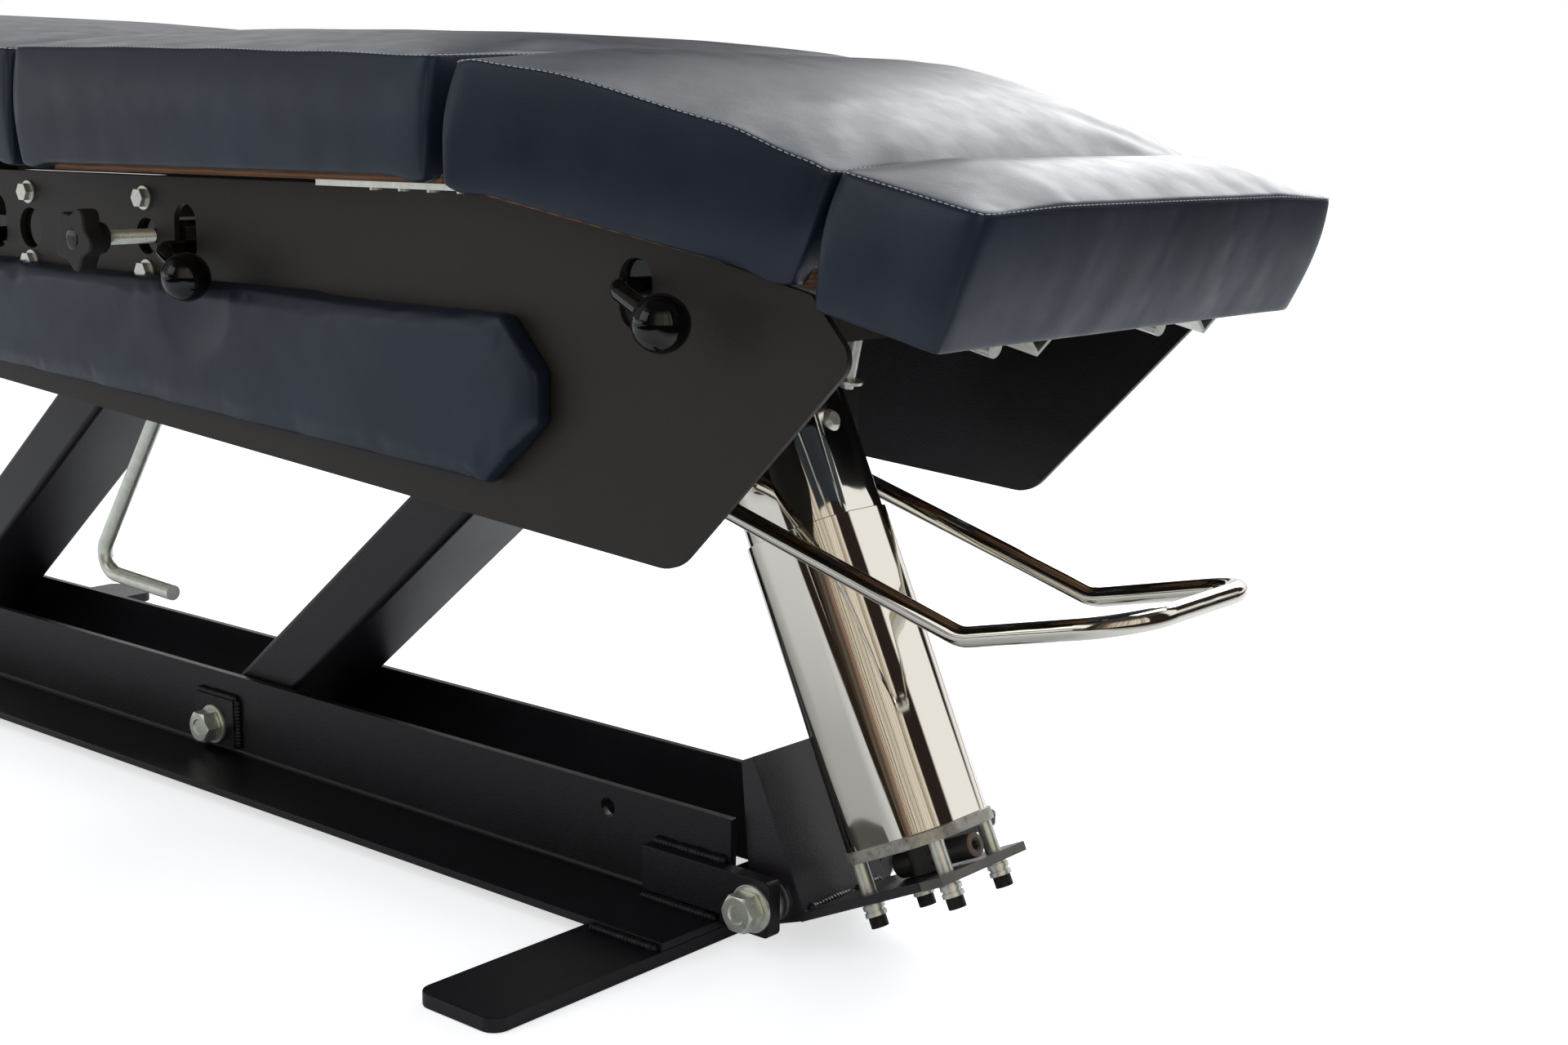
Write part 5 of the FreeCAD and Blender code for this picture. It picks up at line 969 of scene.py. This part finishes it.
# Star knob: rounded lobes, a glossy cap in its face, a brass ring where its insert meets the stud
eased("star_knob", "lobed_knob", "tension_knob", "knob", matt_black, 1.9 * mm, 4)
knob_low, knob_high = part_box("star_knob")
stud_low, stud_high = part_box("knob_stud")
knob_face = Vector(((stud_low[0] + stud_high[0]) / 2, knob_low[1], (stud_low[2] + stud_high[2]) / 2))
cap_profile = ((8.2, -1.6), (8.2, -0.2), (7.6, 0.25), (6.0, 0.45), (0.0, 0.55))
knob_cap = turned("knob_centre_cap", cap_profile, knob_face, (0, -1, 0))
dress(knob_cap, "tension_knob", "knob", gloss_black)
hub_foot = Vector((knob_face.x, knob_high[1], knob_face.z))
ring_profile = ((5.0, -1.0), (8.6, -1.0), (8.6, 0.7), (8.0, 1.1), (5.0, 1.1))
hub_ring = turned("knob_insert_ring", ring_profile, hub_foot, (0, 1, 0))
dress(hub_ring, "tension_knob", "zinc", brass_insert)
stud_in_knob = 2 * mm
stud_foot = Vector((knob_face.x, knob_high[1] - stud_in_knob, knob_face.z))
stud = threaded_stud("threaded_knob_stud", stud_foot, (0, 1, 0), radius=(stud_high[0] - stud_low[0]) / 2,
                     depth=0.75 * mm, pitch=1.5 * mm, length=stud_high[1] - knob_high[1] + stud_in_knob)
dress(stud, "tension_knob", "zinc", zinc, "knob_stud")

# The plug's rusty rim round its socket, in the end of the pump block
rim_profile = ((4.8, -0.5), (8.3, -0.5), (8.3, 0.2), (7.6, 0.6), (4.8, 0.6))
plug_out = (math.cos(column_lean), 0, math.sin(column_lean))
plug_rim = turned("plug_rim", rim_profile, on_column(149, 0, -3.4), plug_out, True)
dress(plug_rim, "column", "black_fastener", rusty_plug)

# Weld beads under the coat: bracket web, lugs on their rails, rails on the foot bars, pads at the arms.
# Each has a name, a body, the points it runs through and a width in millimetres
beads = [
    ("web_weld_near", "column", [on_column(24.6, -40, -13.2), on_column(24.6, 6, -13.2)], 6),
    ("web_weld_far", "column", [on_column(24.6, 12, -13.2), on_column(24.6, 40, -13.2)], 6),
]
for side_name, side in (("near", -1), ("far", 1)):
    beads += [
        ("lug_top_weld_" + side_name, "base", at_mm((431, 57.5 * side, 55.5), (500, 57.5 * side, 55.5)), 7),
        ("lug_foot_weld_" + side_name, "base", at_mm((430, 70 * side, 17.5), (502, 70 * side, 17.5)), 7),
        ("bar_weld_" + side_name, "base", at_mm((436, 127 * side, 11.5), (500, 127 * side, 11.5)), 7),
    ]
    for end_name, x in (("foot_end", -99), ("head_end", -651)):
        beads.append(("pad_weld_%s_%s" % (end_name, side_name), "base", at_mm(
            (x - 28, 57.5 * side, 66), (x + 29, 57.5 * side, 66), (x + 29, 57.5 * side, 22)), 6.5))
for bead_name, body, points, width in beads:
    coat = bracket_coat if body == "column" else rail_coat
    weld_bead(bead_name, points, width * mm, body, "arms" if body == "column" else "rails", coat)


# Floor, light and camera


def seamless_paper():
    """White seamless paper that keeps the soft shadows; in reflections it ends where the dark room begins."""
    material, place = new_material("white_seamless_paper")
    path = node(material, "LightPath").outputs
    glow = node(material, "MapRange", {"Value": path["Is Camera Ray"]}, {"To Min": 0.0, "To Max": 0.62})
    cloudy = node(material, "TexNoise", {"Vector": place}, {"Scale": per_mm(300), "Detail": 2.0})
    tone = node(material, "ValToRGB", {"Fac": cloudy}, stops=[(0.0, "#e9edf2"), (1.0, "#eff2f6")])
    matt = node(material, "BsdfDiffuse", {"Color": tone})
    light = node(material, "Emission", {"Strength": glow}, {"Color": (1, 1, 1, 1)})
    paper = node(material, "AddShader", {0: matt, 1: light})
    # Dark boards, seen only in reflections: beyond the paper's front edge and beyond its foot end
    where = node(material, "SeparateXYZ", {"Vector": place}).outputs
    before = node(material, "MapRange", {"Value": where["Y"]}, {"From Min": -1.35, "From Max": -1.6})
    right = node(material, "MapRange", {"Value": where["X"]}, {"From Min": -2.1, "From Max": -1.3})
    off = node(material, "Math", {0: before, 1: right}, operation="MULTIPLY")
    beyond = node(material, "MapRange", {"Value": where["X"]}, {"From Min": 1.0, "From Max": 1.5})
    ends = node(material, "Math", {0: off, 1: beyond}, operation="MAXIMUM")
    dark = node(material, "Math", {0: ends, 1: path["Is Glossy Ray"]}, operation="MULTIPLY")
    boards = node(material, "Emission", None, {"Color": linear("#2b221c"), "Strength": 1.0})
    both = node(material, "MixShader", {0: dark, 1: paper, 2: boards})
    node(material, "OutputMaterial", {"Surface": both})
    return material


def lay_floor():
    """The floor lies a hair below the rails, so that their undersides don't flicker against it."""
    deselect_everything()
    bpy.ops.mesh.primitive_plane_add(size=40, location=(0, 0, -0.4 * mm))
    floor = bpy.context.active_object
    floor.name = "floor"
    settle(floor)
    floor.data.materials.append(seamless_paper())


def light_world():
    """White to the camera and on matt surfaces; reflections see the room round the white paper as well."""
    world = bpy.data.worlds.new("studio")
    bpy.context.scene.world = world
    world.use_nodes = True
    world.node_tree.nodes.clear()
    path = node(world, "LightPath").outputs
    seen = node(world, "Math", {0: path["Is Camera Ray"], 1: path["Is Transmission Ray"]},
                operation="MAXIMUM")
    strength = node(world, "MapRange", {"Value": seen}, {"To Min": 0.6, "To Max": 1.0})
    white = node(world, "Background", {"Strength": strength}, {"Color": (1, 1, 1, 1)})
    # The room: dark, with brown and pale upright stripes of doors, shelves and window frames
    view = node(world, "TexCoord").outputs["Generated"]
    way = node(world, "SeparateXYZ", {"Vector": view}).outputs
    azimuth = node(world, "Math", {0: way["Y"], 1: way["X"]}, operation="ARCTAN2")
    turn = node(world, "MapRange", {"Value": azimuth}, {"From Min": -math.pi, "From Max": math.pi})
    stripes = node(world, "TexNoise", {"W": azimuth},
                   {"Scale": 4.2, "Detail": 3.0, "Roughness": 0.6}, noise_dimensions="1D")
    shimmer = node(world, "Math", {0: stripes, 1: turn, 2: turn}, operation="MULTIPLY_ADD")
    room = node(world, "ValToRGB", {"Fac": shimmer}, stops=[
        (0.05, "#2a2522"), (0.15, "#4a443e"), (0.178, "#cfc7b9"), (0.194, "#d8d0c2"), (0.206, "#6f675d"),
        (0.22, "#12100f"), (0.32, "#0b0a0a"), (0.36, "#2b2521"), (0.4, "#6f655b"), (0.425, "#473b33"),
        (0.44, "#8e8377"), (0.455, "#8e4f38"), (0.47, "#5d4335"), (0.48, "#fff4d8"), (0.488, "#a79a88"),
        (0.505, "#171413"), (0.515, "#8f8272"), (0.53, "#e9e1d3"), (0.55, "#f4eee2"), (0.557, "#1d1917"),
        (0.566, "#1d1917"), (0.575, "#e4dccd"), (0.6, "#b0a596"), (0.63, "#efe8db"), (0.672, "#e2d9ca"),
        (0.684, "#2b2422"), (0.69, "#8a5433"), (0.7, "#e8dfd0"), (0.715, "#171a26"), (0.8, "#2a2320"),
    ])
    low_paper = node(world, "ValToRGB", {"Fac": turn}, stops=[
        (0.15, 1.0), (0.175, 0.0), (0.66, 0.0), (0.69, 1.0),
    ])
    windows = node(world, "ValToRGB", {"Fac": turn}, stops=[
        (0.0, 0.22), (0.195, 0.22), (0.228, 0.0), (0.6, 0.0), (0.615, 1.0), (0.67, 1.0), (0.68, 0.0),
        (0.725, 0.0), (0.735, 1.0), (0.836, 1.0), (0.852, 0.0), (0.88, 0.0), (0.896, 0.9), (1.0, 0.9),
    ])
    height = node(world, "MapRange", {"Value": way["Z"]}, {"From Min": 0.08, "From Max": 0.15})
    bright = node(world, "Mix", {0: height, 6: low_paper, 7: windows}, data_type="RGBA")
    lit = node(world, "Mix", {0: bright.outputs[2], 6: room}, {7: (1, 1, 1, 1)}, data_type="RGBA")
    above = node(world, "MapRange", {"Value": way["Z"]}, {"From Min": 0.6, "From Max": 0.8})
    all_round = node(world, "Mix", {0: above, 6: lit.outputs[2]},
                     {7: linear("#3c3c3e")}, data_type="RGBA")
    reflected = node(world, "Background", {"Color": all_round.outputs[2]}, {"Strength": 1.0})
    both = node(world, "MixShader", {0: path["Is Glossy Ray"], 1: white, 2: reflected})
    node(world, "OutputWorld", {"Surface": both})


def softbox(name, place, target, width, height, power):
    """A soft lamp of that many metres and watts that faces its target."""
    lamp = bpy.data.lights.new(name, "AREA")
    lamp.shape = "RECTANGLE"
    lamp.size, lamp.size_y = width, height
    lamp.energy = power
    holder = bpy.data.objects.new(name, lamp)
    bpy.context.scene.collection.objects.link(holder)
    holder.location = place
    holder.rotation_euler = (Vector(target) - Vector(place)).to_track_quat("-Z", "Y").to_euler()


def aim_camera():
    """The view from the near foot corner, just below the cushions' level."""
    place = (1.441, -1.1078, 0.5636)
    azimuth, pitch, roll = math.radians(40.3), math.radians(10.72), math.radians(0.52)
    data = bpy.data.cameras.new("camera")
    data.sensor_width = 36
    data.sensor_fit = "HORIZONTAL"
    data.lens = 48.67
    camera = bpy.data.objects.new("camera", data)
    bpy.context.scene.collection.objects.link(camera)
    right = Vector((math.cos(azimuth), math.sin(azimuth), 0))
    level = Vector((-math.sin(azimuth), math.cos(azimuth), 0))
    ahead = level * math.cos(pitch) - Vector((0, 0, math.sin(pitch)))
    up = right.cross(ahead)
    x_axis = right * math.cos(roll) + up * math.sin(roll)
    y_axis = up * math.cos(roll) - right * math.sin(roll)
    turn = Matrix((x_axis, y_axis, -ahead)).transposed().to_4x4()
    camera.matrix_world = Matrix.Translation(place) @ turn
    bpy.context.scene.camera = camera


lay_floor()
light_world()
softbox("overhead", (0.2, 1.2, 2.6), (0, 0, 0.5), width=2.6, height=1.8, power=34)
softbox("front", (-1.0, -2.9, 1.9), (0.2, 0, 0.3), width=2.0, height=1.6, power=9)
softbox("behind", (0.0, 2.9, 1.7), (0.5, 0, 0.6), width=2.0, height=1.6, power=38)
aim_camera()
bpy.context.scene.view_settings.view_transform = "Standard"
